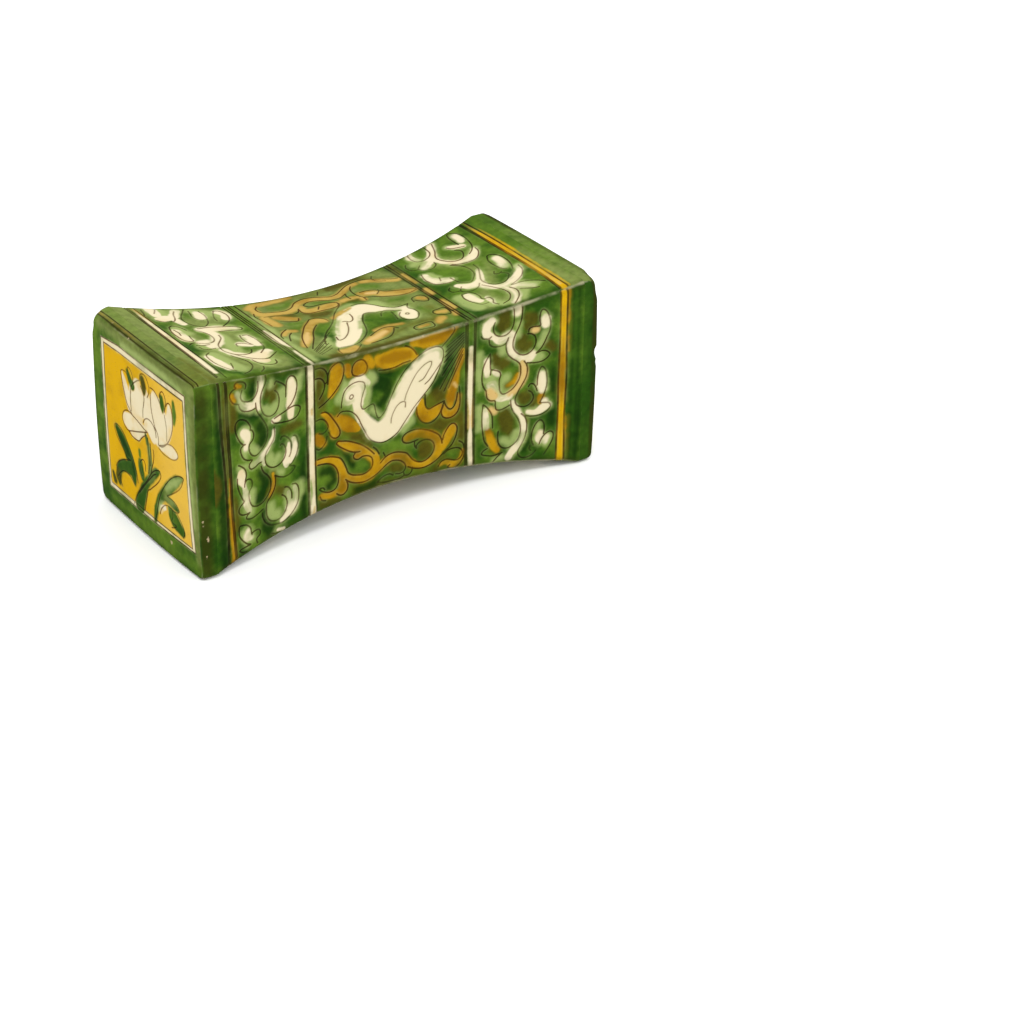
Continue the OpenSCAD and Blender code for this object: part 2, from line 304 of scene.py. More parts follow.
# Reeds drawn side by side on the right of the goose
REED_LINES = (
    (41, 34, 32, 28.4),
    (41.2, 32.8, 31.4, 26),
    (41.3, 31.6, 31, 23.4),
    (41.3, 30.2, 30.6, 20.6),
    (41.2, 28.8, 29.6, 14),
    (41, 27, 28.4, 7),
    (40.8, 25, 30.6, 5.4),
    (40.6, 22.6, 33, 6.4),
)

# Vines round the goose: their incised lines, then their glazes
FRONT_VINE_LINES = (
    (9.2, 34.4, 11.7, 33.2, 14.2, 30.7, 15.7, 28.2),
    (-5.4, 25.4, -1, 24.7, 4, 24.8, 8, 25.7, 12, 26),
    (36, 39, 36.2, 36.6, 34.2, 33.8, 31.7, 31.3, 29.6, 29.4),
    (-34.9, 27.9, -34.1, 31.6, -32.6, 34.1, -30.4, 35.5, -27.9, 35.9, -26, 34.7, -25.2, 32.6, -25.4, 29.4,
     -26.6, 26, -29.1, 22.9, -32.2, 20.1, -36, 17.6, -39.7, 16),
    (-42.2, 36.3, -39.1, 36.3, -36.6, 35, -35.1, 32.9, -34.4, 29.7, -34.4, 26.6),
    (-41.3, 31.3, -39.1, 31, -37.2, 29.4, -36.3, 27.2, -36.6, 24.7, -37.9, 22.2, -39.4, 20.4),
    (-36.3, 27.4, -35.2, 27.6),
    (-20.7, 29.1, -20.1, 31.6, -18.5, 33.3, -16.3, 33.8, -14.1, 33.2, -12.6, 31.3, -11.9, 29.1,
     -12.9, 26.6,
     -15.1, 25.5, -17.9, 25.9, -20.1, 27.2, -20.7, 29.1),
    (-38.5, 12.9, -36, 12.6, -34.1, 11, -31.9, 7.9, -29.7, 4.4, -28.2, 1.3, -27.9, -0.9, -28.8, -2.4,
     -31, -2.6, -32.9, -1.2, -34.4, 1.6),
    (-41.3, 9.7, -39.1, 9.9, -36.9, 8.8, -35.4, 6.9, -34.6, 4.7, -35.7, 2.9, -37.9, 1.9, -40.1, 2.6),
    (-35.4, -0.2, -36, -2.7, -37.9, -4.9, -40.1, -5.9, -41.6, -4.9),
    (-30.1, -5.9, -29.1, -4.9, -27.2, -5.4, -23.5, -6.5, -19.7, -8.4, -16, -10.6, -12.9, -13.1,
     -10.4, -15.6,
     -8.5, -17.8),
    (-30.1, -5.9, -28.5, -7.7, -25.4, -10.2, -22.2, -12.4, -19.1, -13.7, -16.6, -14.1),
    (-19.1, -13.7, -20.4, -15.6, -19.7, -17.1, -17.6, -18, -15.4, -17.2, -12.2, -17.7, -10.1, -19.3,
     -9.4, -21.8, -10.1, -24.6, -12.2, -26.2, -15.4, -26.8, -18.5, -26.2, -21.3, -25.2, -23.5, -23.4,
     -24.7, -20.2, -26, -17.1, -27.9, -14.3, -30.7, -12.7, -34.1, -11.5, -37.9, -10.9, -41, -10.9),
    (-41, -13.7, -37.9, -14.1, -34.1, -15.2, -31.3, -17.4, -29.6, -20.6, -29.1, -24, -29.6, -27.4,
     -31.3, -29.6, -34.1, -30.2, -36.6, -29.6, -38.8, -28.4, -40.4, -26.8),
    (-39.7, -26.5, -38.2, -26.7, -37.2, -28),
    (-40.1, -30.9, -39.1, -33, -36.9, -34),
    (-25.1, -26.5, -22.9, -28.4, -19.1, -30.2, -14.1, -31, -9.7, -30.1, -6, -28.4, -2.2, -25.9,
     0.9, -24.5,
     4, -24.8, 6.4, -25.8, 8.4, -27.6, 9.2, -29.6, 8.3, -31.8, 6.1, -32.6, 3.6, -32.1),
    (-24.4, -27.7, -23.8, -29.9, -24.4, -32.4, -26.6, -34.1, -28.8, -33.7, -30.4, -32.4),
    (-5, -23.7, -2.2, -21.4, 0.5, -20.5, 3.6, -20.4, 6.7, -21.2, 9.9, -22.7, 11.4, -24.6, 13, -26.8,
     15.5, -28.7, 18.6, -29.6, 21.7, -28.7, 23.9, -26.8, 25.2, -24, 24.9, -21.2, 23, -19, 19.9, -18,
     16.7, -18.7, 15.2, -20.2, 15.3, -21.5),
    (-9.1, -14, -7.2, -15.9, -5.7, -18.7),
    (-3.4, -18.6, -2.4, -20.6),
    (10.5, -30.2, 13.6, -31.8, 18, -32.9, 22.4, -32.4, 26.1, -30.9, 29.2, -28.7, 31.7, -26.8, 34.2, -25.2,
     36.4, -22.1, 37.7, -18.4, 37.7, -15.2, 36.1, -13.2, 34.2, -13.4, 32.1, -15.6, 30.5, -18.4,
     29.9, -20.6),
    (16.1, -17, 13.6, -17.4, 10.5, -17.4, 8, -16.2, 7.4, -14.3, 8.3, -12.7, 11.1, -11.4, 14.9, -11.2,
     18.6, -12.1, 22.4, -13.7, 25.5, -15.6, 28, -17.7, 29.2, -20.2, 29.6, -22.4),
    (14.2, -18, 14.3, -20, 15.2, -21.3),
    (27.4, -34.6, 29.2, -32.4, 32.1, -31.8, 35.5, -33, 38, -33.5, 40.2, -32.1, 40.8, -29.6, 39.2, -27.4,
     36.1, -26.6, 32.7, -27.1, 30.5, -28.4),
    (38.9, -23.4, 41.1, -25.2, 41.7, -28.4, 41.4, -32.7, 39.2, -35.9, 36.7, -37.4, 34.2, -37.4,
     32.7, -36.2,
     33.9, -35.2),
    (-6.9, -33.7, -4.7, -32.1, -2.2, -31.2, 0.3, -31.2, 2.1, -32.4),
    (-6.9, -33.7, -4.1, -34.6, 0.3, -35.2, 6.1, -35.2, 8.3, -34, 8, -32.8),
    (13, -31.2, 12.4, -33.4, 10.5, -34.7, 8.6, -34.3),
    (20.2, 6, 20.2, 2.2, 20.8, -0.9, 22.4, -2.2, 24.9, -1.5, 28, -0.6, 30.5, 0.1),
    (15.5, 0.4, 15.8, -3.4, 17.4, -6.8, 19.9, -9, 23, -9.7, 26.1, -8.4, 28.6, -5.2, 29.9, -2.1,
     30.8, 0.1),
    (30.8, -0.6, 32.1, -3.4, 34.2, -5.1, 36.1, -4, 37.4, -0.9, 38, 2.9),
    (30.2, -2.4, 29.2, -5.2, 29.9, -8, 32.4, -9.5, 35.5, -9.3, 38, -7.4, 39.2, -4, 39.4, 0.4, 38.9, 6),
)

FRONT_VINE_PAINT = (
    ("deep_and_shade", (-9, 20, 2.4, -3, 18, 2.6, -1, 12, 2, -5, 8, 1.6)),
    ("deep_and_shade", (-8, 27, 1.4, 0, 23, 1.4)),
    ("deep_and_shade", (-38, -18, 2, -33, -19, 2.4, -31.4, -24, 1.6, -35, -27, 2)),
    ("deep_and_shade", (-26, -9, 1, -24, -14, 1.4, -21, -20, 1.2)),
    ("deep_and_shade", (36, 29, 2, 33, 24, 2, 30, 16, 2, 26, 9, 2)),
    ("deep_and_shade", (40, 31, 2.2, 37, 28, 1.4)),
    ("deep_and_shade", (-18, -34, 1.6, -10, -33.5, 1.6)),
    ("olive", (-20, -5, 2, -15, -7, 2, -12, -11, 1.6)),
    ("olive", (-38, 34, 1.6, -40, 25, 0.8, -38, 18, 1.4)),
    ("olive", (24, -12, 1.6, 30, -12, 2.4, 38, -11, 3)),
    ("olive", (40, -16, 1.6, 40, -20, 1.6)),
    ("olive", (27, 5, 2, 29, 2, 2, 33, 8, 2)),
    ("olive", (-39, -35, 1.4, -30, -35.4, 1.2)),
    ("olive", (20, -23, 3.4, 20, -24.5, 3.4)),
    ("olive", (2, -28, 1.4, 6, -29, 2)),
    ("olive", (30, -30, 0.8, 26, -35, 0.8)),
    ("pale", (-27, 27, 1, -25, 22, 1.6, -28.5, 17, 1.4)),
    ("pale", (-12, 26, 1, -9, 22, 1)),
    ("pale", (-9.5, 6, 1, -3, 0, 0.8)),
    ("pale", (8, -10, 1, 12, -5, 1.4)),
    ("amber", (-30, 33, 2, -29.5, 29.5, 3.4, -31, 24.5, 2.2, -33, 20.5, 0.8)),
    ("amber", (-23.5, 31.5, 1.8, -22.4, 28, 1.2)),
    ("amber", (-16.4, 29.7, 3.6, -16.2, 29.6, 3.6)),
    ("amber", (-12, 33, 1.4, -9.6, 30, 1.2)),
    ("amber", (-5.6, 31.4, 1.6, -2, 29.8, 3.6, 5, 29.6, 4, 11, 29.4, 3, 14.4, 27.6, 1.2)),
    ("amber", (14, 35, 1.4, 20, 34.6, 2.8, 27, 34.4, 2.8, 33, 36.8, 2, 36, 39, 1.2)),
    ("amber", (-37.5, 12.2, 0.8, -34.4, 9, 1.2, -31.4, 4, 1.8, -30.4, 0, 2.2)),
    ("amber", (-29, 7.4, 1, -25, 3.4, 2.6, -21, 0.6, 2.4, -18, -1.4, 1.2)),
    ("amber", (-41, 1.4, 0.8, -39.6, -1.6, 1.8, -38, -3.4, 1.2)),
    ("amber", (-41.4, -12.3, 1.1, -36, -12.6, 1.2, -31, -14.8, 1.5, -28.2, -19, 1.7, -26.6, -24, 1.9,
               -26.4, -28.5, 2.4, -27.2, -31.2, 2)),
    ("amber", (-30.5, -31.6, 1, -35, -31.6, 1, -39.4, -31, 0.7)),
    ("amber", (-28.4, -5.9, 0.5, -23.8, -9, 1.6, -17.8, -12.2, 1.6, -12.4, -15.8, 1.6, -8.4, -20, 2,
               -8, -24, 1.6)),
    ("amber", (-19, -15.8, 1, -14.4, -16.4, 0.7, -10, -17.4, 1)),
    ("amber", (-24.4, -25.6, 1.2, -19.4, -28.2, 1.7, -13, -29, 1.8, -8, -26.6, 1.8, -2.6, -23.6, 1.6,
               3, -22.5, 1.7, 8, -24.4, 1.7, 11.6, -28.2, 1.8, 16.4, -31, 1.4, 22, -30.6, 1.6,
               26.6, -27.6, 1.9, 27.4, -22.6, 1.7, 25, -17.6, 1.7, 20.6, -14.9, 1.6, 15, -13.8, 1.8,
               10, -14.6, 1.3)),
    ("amber", (29, -24.4, 1.7, 32, -20, 2.2, 35, -16, 1.9, 36.2, -14.8, 1)),
    ("amber", (28.6, -33.8, 0.6, 32, -33, 0.9, 36, -35.4, 1.4, 39.6, -33.6, 1, 41, -29, 0.5)),
    ("amber", (17.6, 3, 1.3, 18, -2, 1.9, 20.6, -5.6, 2.4, 24.6, -5, 2.4, 28, -2.6, 1.2)),
    ("amber", (30.6, -3.6, 0.7, 31.6, -6.6, 1.3, 35, -7.6, 1.3, 38, -4.6, 0.8, 38.6, 1, 0.5)),
    ("amber", (34, -3, 1, 34.2, 1, 1.6, 35.4, 6, 1.4, 37.2, 12, 0.9, 39, 19, 0.7, 40.4, 25, 0.4)),
    ("honey", (-3, 30.4, 1.4, 4, 30, 2.2, 11, 29.6, 1.4)),
    ("honey", (18, 34.6, 0.8, 27, 34.6, 1, 33, 36.6, 0.6)),
    ("honey", (34.4, 1, 0.8, 35.4, 6, 0.8)),
    ("tan", (36, 8.4, -0.4, 37.4, 6.4, -0.4)),
)

# Scrolls in the right panel of the front: their incised lines, then their glazes
FRONT_RIGHT_LINES = (
    (67.6, 44.2, 67.8, 41.1, 67.9, 36.7, 67.6, 33, 66.1, 29.9, 63.6, 28.1, 60.7, 28, 58.2, 29.2, 57, 31.4,
     57, 33.9, 57.7, 35.8),
    (50.4, 29.9, 51.4, 28.6, 53.2, 28.1, 54.8, 27.9, 55.9, 28.7),
    (54.8, 27.6, 54.8, 26.4, 55.2, 24.6, 57, 23.2, 60.1, 22.7, 63.2, 23.3, 64.8, 25.2),
    (65, 26.4, 64, 23.6, 64, 20.5, 65.1, 17.4, 67.3, 14.9, 69.8, 13, 71.4, 11.1, 71.9, 8, 71.7, 4.9,
     70.4, 1.7, 68.2, -1.1, 65.4, -2.9, 62.6, -3.4, 61.1, -1.7, 60.6, 1.4, 60.6, 4.9, 61.2, 7, 60.7, 8.9,
     58.6, 10.2, 56.4, 11),
    (72.3, 44, 72.1, 38.6, 71.7, 34.9, 70.4, 31.1, 68.6, 27.4, 67.5, 23.6, 67.7, 20.5, 69.5, 17.7, 72, 16,
     74.8, 15.8, 77.6, 17.4, 79.2, 19.9, 79.6, 22.4, 78.9, 24.9, 77, 26.4, 75.1, 26.7),
    (75.7, 27.7, 76, 29.2, 78.2, 29.9, 80.7, 29.7, 81.8, 29.9, 81.5, 32.4, 81.4, 34.9, 82, 37.4,
     82.9, 38.3,
     84.8, 37.1, 86.2, 34.2, 87, 30.5, 86.7, 26.7, 85.4, 23.6, 83.7, 19.9, 82, 17.4, 79.8, 15.5),
    (80.1, 15.5, 83.2, 16.3, 85.7, 15.5, 87, 13.9, 85.7, 12.1, 83.2, 10.7, 80.1, 10.4, 77, 10.8,
     75.1, 11.1),
    (73.6, 12.4, 74.8, 10.5, 75.4, 7.4, 74.8, 3.6, 72.9, 0, 71.1, -2.9, 69.8, -5.7, 69.2, -8.2,
     70.1, -10.7,
     72.3, -12.1, 75.1, -12.4, 77.6, -11.1, 78.9, -8.6, 78.2, -5.7, 76.4, -4.2),
    (76.1, -2, 77.3, -0.6, 78.9, -1.1, 80.1, -2.9, 80.9, -5.1),
    (80.8, -2, 80.9, 1.7, 81.7, 5.5, 83.1, 7.7, 84.8, 6.1, 85.7, 2.4, 85.9, -2, 85.1, -5.7, 83.7, -9.5,
     82.3, -12),
    (82.3, -12, 84.8, -12.3, 87.3, -12.9, 88.1, -14.5, 86.7, -16.7, 83.9, -18.2, 80.7, -18.7, 77.6, -18.4,
     75.1, -17.6),
    (55.4, 19.6, 53.9, 17.4, 52.3, 14.2, 51.4, 10.5, 51.2, 6.7, 51.7, 3.6, 52.9, 1.1, 53.7, 0),
    (55.5, 19.6, 55.7, 16, 55.6, 13, 55.9, 10.5, 55.7, 8.4),
    (53.6, -0.4, 54.2, -3.9, 56, -5.6, 58.4, -6.2, 58.6, -8.9, 59.2, -11.1, 61.4, -11.7, 63.9, -11.1,
     66.4, -10.1),
    (52, -7, 53.2, -7.9, 55.4, -10.7, 56.9, -13.9, 57.2, -17.6, 57.3, -20.7),
    (52, -7, 51.5, -12, 51.5, -17.6, 52, -22.6, 52.9, -27, 54.8, -30.1),
    (60.4, -23.2, 60.1, -26.4, 60.7, -30.1, 62.6, -32.6, 65.4, -33.4, 68.6, -32.3, 71.1, -29.8,
     72.3, -26.4,
     72.3, -22.6, 71.1, -18.9, 68.9, -15.1, 67.3, -11.4, 66.9, -7.6),
    (72.7, -16.1, 74.8, -18.6, 75.7, -22, 75.6, -25.7, 74.8, -29.5, 72.9, -33.2, 71.2, -36.4, 71.4, -38.6,
     73.2, -40.4, 76.4, -40.7, 79.2, -39.5, 80.7, -37.9),
    (78.2, -37.6, 77.3, -36.4, 77.6, -34.8),
    (79.5, -34.8, 78.6, -32.6, 78.4, -28.9, 79.5, -25.1, 81.1, -22.6, 82.9, -21.5, 84.6, -23.2,
     85.1, -26.4,
     84.8, -29.5),
    (82.6, -34.8, 83.6, -32.3, 85.7, -29.8, 88.2, -28.7, 89.8, -29.8, 89.8, -32.6, 88.2, -36.4,
     86.4, -39.2,
     85.1, -41),
    (54.5, -31.4, 52.3, -32.3, 51.4, -33.9, 53.9, -35.1, 57.6, -36, 62.6, -35.4),
    (57.3, -40.1, 58.9, -38.2, 61.6, -36),
)

FRONT_RIGHT_PAINT = (
    ("deep_and_shade", (89, 4, 1, 89.4, -6, 1)),
    ("deep_and_shade", (77, -24, 0.8, 77.6, -30, 1, 75, -36, 1)),
    ("deep_and_shade", (88.6, -18, 1, 89, -24, 1)),
    ("olive", (63.5, 40, 2, 62.5, 35, 3.6, 62.5, 31.5, 2)),
    ("olive", (72.5, 25, 2, 72.6, 20, 3.2, 76, 21, 1.6)),
    ("olive", (58.5, 17, 1.6, 60, 12, 2.4, 64, 13.5, 2)),
    ("olive", (73.6, -7.6, 3.2, 74.4, -7.4, 3)),
    ("olive", (64, -14.5, 2.6, 65, -20, 3.4, 66.4, -24, 2)),
    ("olive", (75, 36, 1.8, 78, 34, 1.8, 75, 31, 1.6)),
    ("olive", (85, 20, 1.6, 88.6, 17, 1.6)),
    ("olive", (79.4, -10.4, 1.2, 78, -14, 1)),
    ("pale", (49.6, 20, 1.2, 49.4, 10, 1, 50, 2, 0.7)),
    ("pale", (49.8, -8, 1.4, 49.4, -20, 1)),
    ("pale", (62, 20, 1, 61, 25, 0.8)),
    ("pale", (70, 33, 1, 70, 27, 1)),
    ("pale", (84.4, 25, 1.4, 82, 20, 1.2)),
    ("pale", (83.6, 36, 1)),
    ("pale", (82, 13.4, 1.6, 79.4, 12.6, 1.2)),
    ("pale", (64, 5, 1.6, 64.6, 1, 1.4, 67, 0.6, 1)),
    ("pale", (61.6, -8.8, 1.6, 64.4, -8, 1.4)),
    ("pale", (63, -29, 1.2, 67, -30.5, 1.4, 70.4, -26, 1.2)),
    ("pale", (52.4, 15, 0.8, 56, 5.6, 1.6, 53, 5, 1)),
    ("pale", (62, -38, 1.2, 58, -39, 0.8)),
    ("pale", (81, -27, 1, 82, -24, 0.8)),
    ("pale", (87.4, -31, 1.2, 86, -35, 1)),
    ("tan", (78.6, 28, 0.8, 80, 28, 0.7)),
    ("amber", (65, 1, 0.2, 69, 2.6, 0.8, 70.6, 6, 0.6)),
    ("amber", (54.6, -22, 0.9, 55.6, -26, 1.3, 57.6, -30.4, 1.5, 60, -33.4, 1.2)),
    ("tan", (56, -10.4, 0.8, 58, -12, 0.8)),
    ("amber", (83, -8.4, 0.9, 82.6, -11.4, 1)),
    ("amber", (73.2, -17.4, 0.5, 74.6, -21, 0.6)),
    ("cream", (55.8, 36.8, 1.6, 53.6, 34.4, 1.9, 53.4, 31, 2, 56.8, 28.4, 1.2, 60, 25.8, 1.6,
               63.6, 26.8, 1.7,
               66.2, 27.6, 1.6, 65.8, 23, 1.4, 66.2, 19.4, 1.3, 68.8, 16, 1.4, 72, 14, 1.7, 76, 13.4, 1.6,
               78, 15.4, 1)),
    ("cream", (69.4, 44, 1.6, 69.4, 39.4, 1.4)),
    ("cream", (84.6, 33, 1.6, 84.6, 30.6, 1.8)),
    ("cream", (53.6, 16, 0.9, 53.8, 12.6, 1.5, 54, 9, 1.2)),
    ("cream", (58, 9.4, 0.9, 60, 7.6, 0.7)),
    ("cream", (56.6, 2.6, 2.2, 58, -1, 2.4, 61, -4.8, 1.8, 65.4, -5, 1.4)),
    ("tan", (72.6, 12, 0.8, 73.5, 7, 1.5, 72.8, 3, 1.5, 69.6, -1.6, 1.3, 66, -4.2, 0.8)),
    ("tan", (55.4, -0.6, 1.6, 57.4, -3.4, 2)),
    ("cream", (83.2, 3.4, 1.1, 83, -1, 1.7, 83.6, -4.6, 1.2)),
    ("cream", (86.6, -14, 0.8, 83.6, -15.2, 1.7, 80.2, -16.4, 1.1, 76, -15.6, 0.7)),
    ("cream", (84.6, -11.4, 0.8, 85.2, -12.4, 0.6)),
    ("cream", (68, -9, 0.9, 70, -13, 1, 72.4, -17, 1.1, 74, -22, 1.3, 73.8, -27, 1.3, 71.8, -31.6, 1.5,
               68.6, -35, 1.7, 66, -38.6, 1.6)),
    ("cream", (53.2, -10, 0.9, 53.6, -15, 1.5, 53.4, -19, 1.2)),
    ("cream", (83, -28.6, 1, 82, -31.6, 1.3, 82.8, -33.6, 0.8)),
    ("cream", (86.4, -31.4, 0.7, 85.4, -33.6, 0.9)),
)

# Broad washes under the drawing on the top
TOP_WASH = (
    ("leaf", (101, 46, 3, 101, 0, 3, 101, -46, 3)),
    ("leaf", (56, 34, 6, 74, 28, 8, 62, 8, 8, 82, 0, 8, 60, -16, 8, 80, -32, 8)),
    ("sage", (-100, 44, 6, -100, 0, 6, -100, -44, 6)),
    ("sage", (-84, 38, 8, -60, 30, 8, -80, 8, 8, -58, -2, 8, -80, -24, 8, -58, -30, 8)),
    ("sage", (60, 26, 3, 78, 8, 4, 72, -14, 3, 60, -30, 5, 82, -28, 4)),
    ("sage", (-38, 24, 4, -30, 28, 4, -10, 30, 5, 14, 32, 5, 34, 32, 5, 40, 16, 5)),
    ("sage", (-38, 4, 4, -30, -14, 7, -26, -30, 6, 4, -31, 6, 30, -26, 7, 37, -8, 6, 34, 2, 6,
              22, 16, 5)),
    ("sage", (-36, 28, 6, 36, 28, 6, 36, 4, 6, -36, 8, 6, -34, -26, 6, 34, -26, 6)),
    ("sage", (-24, 26, 3, -6, 22, 3, 24, 24, 4, 36, 18, 4)),
    ("moss", (4, -30, 1, 20, -24, 2.4, 34, -26, 2.4, 38, -14, 1.4)),
    ("moss", (-101, -20, 0.4, -100.4, -34, 1.6, -99, -45, 2.6)),
    ("moss", (-34, 20, 1.4, -24, 16, 2.4, -18, 13, 1.4)),
    ("moss", (-24, 32, 1, -4, 32, 1.4, 14, 33, 1, 30, 34, 1)),
    ("moss", (-12, 11, 1, -6, 9, 1, 8, 17, 1.4, 16, 17, 1)),
    ("moss", (-30, -35, 1, -8, -34, 1.4, 12, -34, 1.4, 30, -34, 1)),
)

# Incised lines beside the bands on the top
TOP_BAND_LINES = (
    (-95, 46, -94.8, 20, -94.8, -20, -95.2, -44),
    (-93.9, 46, -93.7, 20, -93.8, -20, -94.2, -43),
    (-90.8, 44, -90.6, 20, -90.3, -10, -89.8, -30, -90.4, -44),
    (-47.2, 39, -46.8, 0, -47, -38),
    (-45.4, 38, -45.3, 0, -45, -38),
    (-44, 38, -44, 20, -43.8, -38),
    (-41, 38, -40.8, 0, -41, -20, -40.8, -38),
    (44.2, 38, 44.4, 0, 44.2, -38),
    (46, 38, 45.6, 0, 45.8, -38),
    (48.8, 39, 48.6, 0, 48.4, -39),
    (94.2, 47, 94.6, 20, 94.4, -20, 92.4, -45),
    (95, 47, 95.4, 20, 95, -20, 93.2, -45),
    (97.4, 47, 98, 20, 97.4, -20, 96.6, -46),
)

# The bands on the top, and the runs of glaze beside them
TOP_BAND_PAINT = (
    ("sage", (100.4, 0, 0.6, 100.6, -20, 2, 100.2, -46, 3)),
    ("leaf", (-46, 36, 1.4, -45.6, 8, 1.4)),
    ("leaf", (-46, -14, 1.4, -45.6, -36, 1.6)),
    ("deep_and_shade", (45.2, 34, 0.8, 45.2, -34, 0.8)),
    ("olive", (46.6, 36, 1.2, 46.8, 22, 1.2)),
    ("wash", (-91.6, 42, 0.5, -91.6, 24, 0.5)),
    ("wash", (46.8, 24, 0.5, 47, 12, 0.5)),
    ("wash", (46.8, 3, 1, 46.8, -3, 1)),
    ("wash", (46.4, -12, 1, 46.2, -22, 1.4)),
    ("wash", (44, -26, 0.8, 43.4, -29, 0.8)),
    ("wash", (96.8, 47, -0.2, 96.6, 40, 0.2, 96.6, 32, 0.2)),
    ("gold", (96.5, 36, 0.3, 96.5, 29, 1, 96.6, 18, 1.5, 96.6, 0, 1.5, 96.1, -20, 1.8, 95, -45, 2)),
    ("honey", (96.6, 28, -0.4, 96.6, 0, -0.4, 96.1, -20, -0.5, 95, -45, -0.6)),
    ("tan", (96.4, -8, -0.6, 95.8, -26, -0.3, 95, -42, 0)),
    ("gold", (98.6, 36, -0.3, 98.9, 20, 0.3, 98.4, -20, 0.3, 97.6, -46, 0.4)),
    ("slip", (-92.4, 41, -0.2, -92.4, 32, 0.4, -92.4, 20, 1.2, -92.2, 0, 1.3, -92.4, -20, 1.3,
              -92.6, -38, 1)),
    ("pale", (-39.8, 20, 1, -39.4, 0, 1.3, -39.2, -20, 1.4, -39.4, -36, 1.2)),
    ("slip", (-43.4, 4, 0.7, -43, -3, 1.7, -42.6, -10, 1.8, -41.4, -17, 0.8)),
    ("slip", (-42.4, -22, 0.5, -42.6, -38, 0.8)),
)

# Scrolls in the left panel of the top: their incised lines, then their glazes
TOP_LEFT_LINES = (
    (-79.9, 43.9, -81.3, 40.7, -83.8, 36.4),
    (-88, 42, -89, 37, -90, 34),
    (-72.7, 37.9, -74.9, 34.3, -77, 28.6, -79.1, 25.7, -82, 25.4, -85, 26, -87, 28),
    (-67, 39.3, -69.9, 35, -72, 32.1, -74.1, 27.1, -73.6, 22, -71, 18.4, -67.7, 17.1, -65.6, 18.6,
     -63.4, 21.4, -62, 25, -60.6, 30, -60.9, 35.7),
    (-65.6, 37.1, -66.3, 33.6, -67.4, 29.3, -66, 25.6, -64, 24.6),
    (-54.1, 33.6, -56.3, 29.3, -57.7, 25.7, -58.1, 22.1),
    (-54, 34, -51.4, 33.4, -49.9, 29.3, -50.6, 24.3, -52.7, 20.7, -55.6, 17.9, -58.4, 15.7),
    (-72.7, 15, -66.3, 15.7, -60.6, 15, -54.9, 13.9, -51.3, 11.4, -52, 9.6, -58, 9.8, -64, 10),
    (-85.6, 18.4, -87.2, 13, -87.4, 8, -86.6, 2, -84.4, 0.4, -82.4, 0.7, -82, 3.6, -81.3, 7.1),
    (-85.6, 18.4, -83.4, 20, -80.6, 18, -79, 14),
    (-85, 15, -84.4, 11, -85, 8),
    (-75.6, 14.3, -72.7, 11.4, -70.9, 7.9, -70.6, 5, -71.6, 0.7, -74.1, -2.1, -77.7, -3.2, -80.6, -2.5,
     -84, -1.6, -87, -4),
    (-66.6, 5.7, -67.4, 2.1, -69.9, -1.4, -73.1, -5.7, -74.1, -8.6, -74.5, -12.9, -73.4, -15.7,
     -70.6, -18.6,
     -66.3, -19.3, -62.7, -17.9, -60.6, -14.3),
    (-64.9, -9.3, -64.1, -6.4, -60.6, -6.4, -57.7, -8.6),
    (-57, 2.9, -58.1, -1.4, -57.7, -6.4, -56.8, -9),
    (-55.6, 2.6, -53.6, 2.6, -52.7, 0.7, -52, -4.3, -52.4, -9.3, -53.4, -13.6, -56.3, -17.1,
     -58.4, -19.3),
    (-73.4, -15.7, -69.1, -21.4, -64.9, -25, -59.1, -26.4, -54.9, -23.6, -50.6, -20),
    (-67, -26, -66, -30, -63, -33, -59.1, -33.2, -57, -31.4, -56.3, -28.6),
    (-74.1, -19.3, -71.3, -24.3, -69.9, -28.6, -70.6, -32.9, -73.4, -36.8, -76.3, -39.3, -79, -40.6),
    (-79.1, -27.9, -80.2, -31.4, -81.3, -34.3),
    (-82.7, -14.3, -85.6, -17.1, -86.6, -21.4, -86.3, -27.9, -84.1, -33.6, -81, -37),
    (-83.8, -7.1, -83, -9.4, -80.6, -10.4, -76.3, -9.3),
    (-84, -5, -81, -5.4, -77, -4.6),
    (-70, -40, -67, -37, -66, -34.6),
)

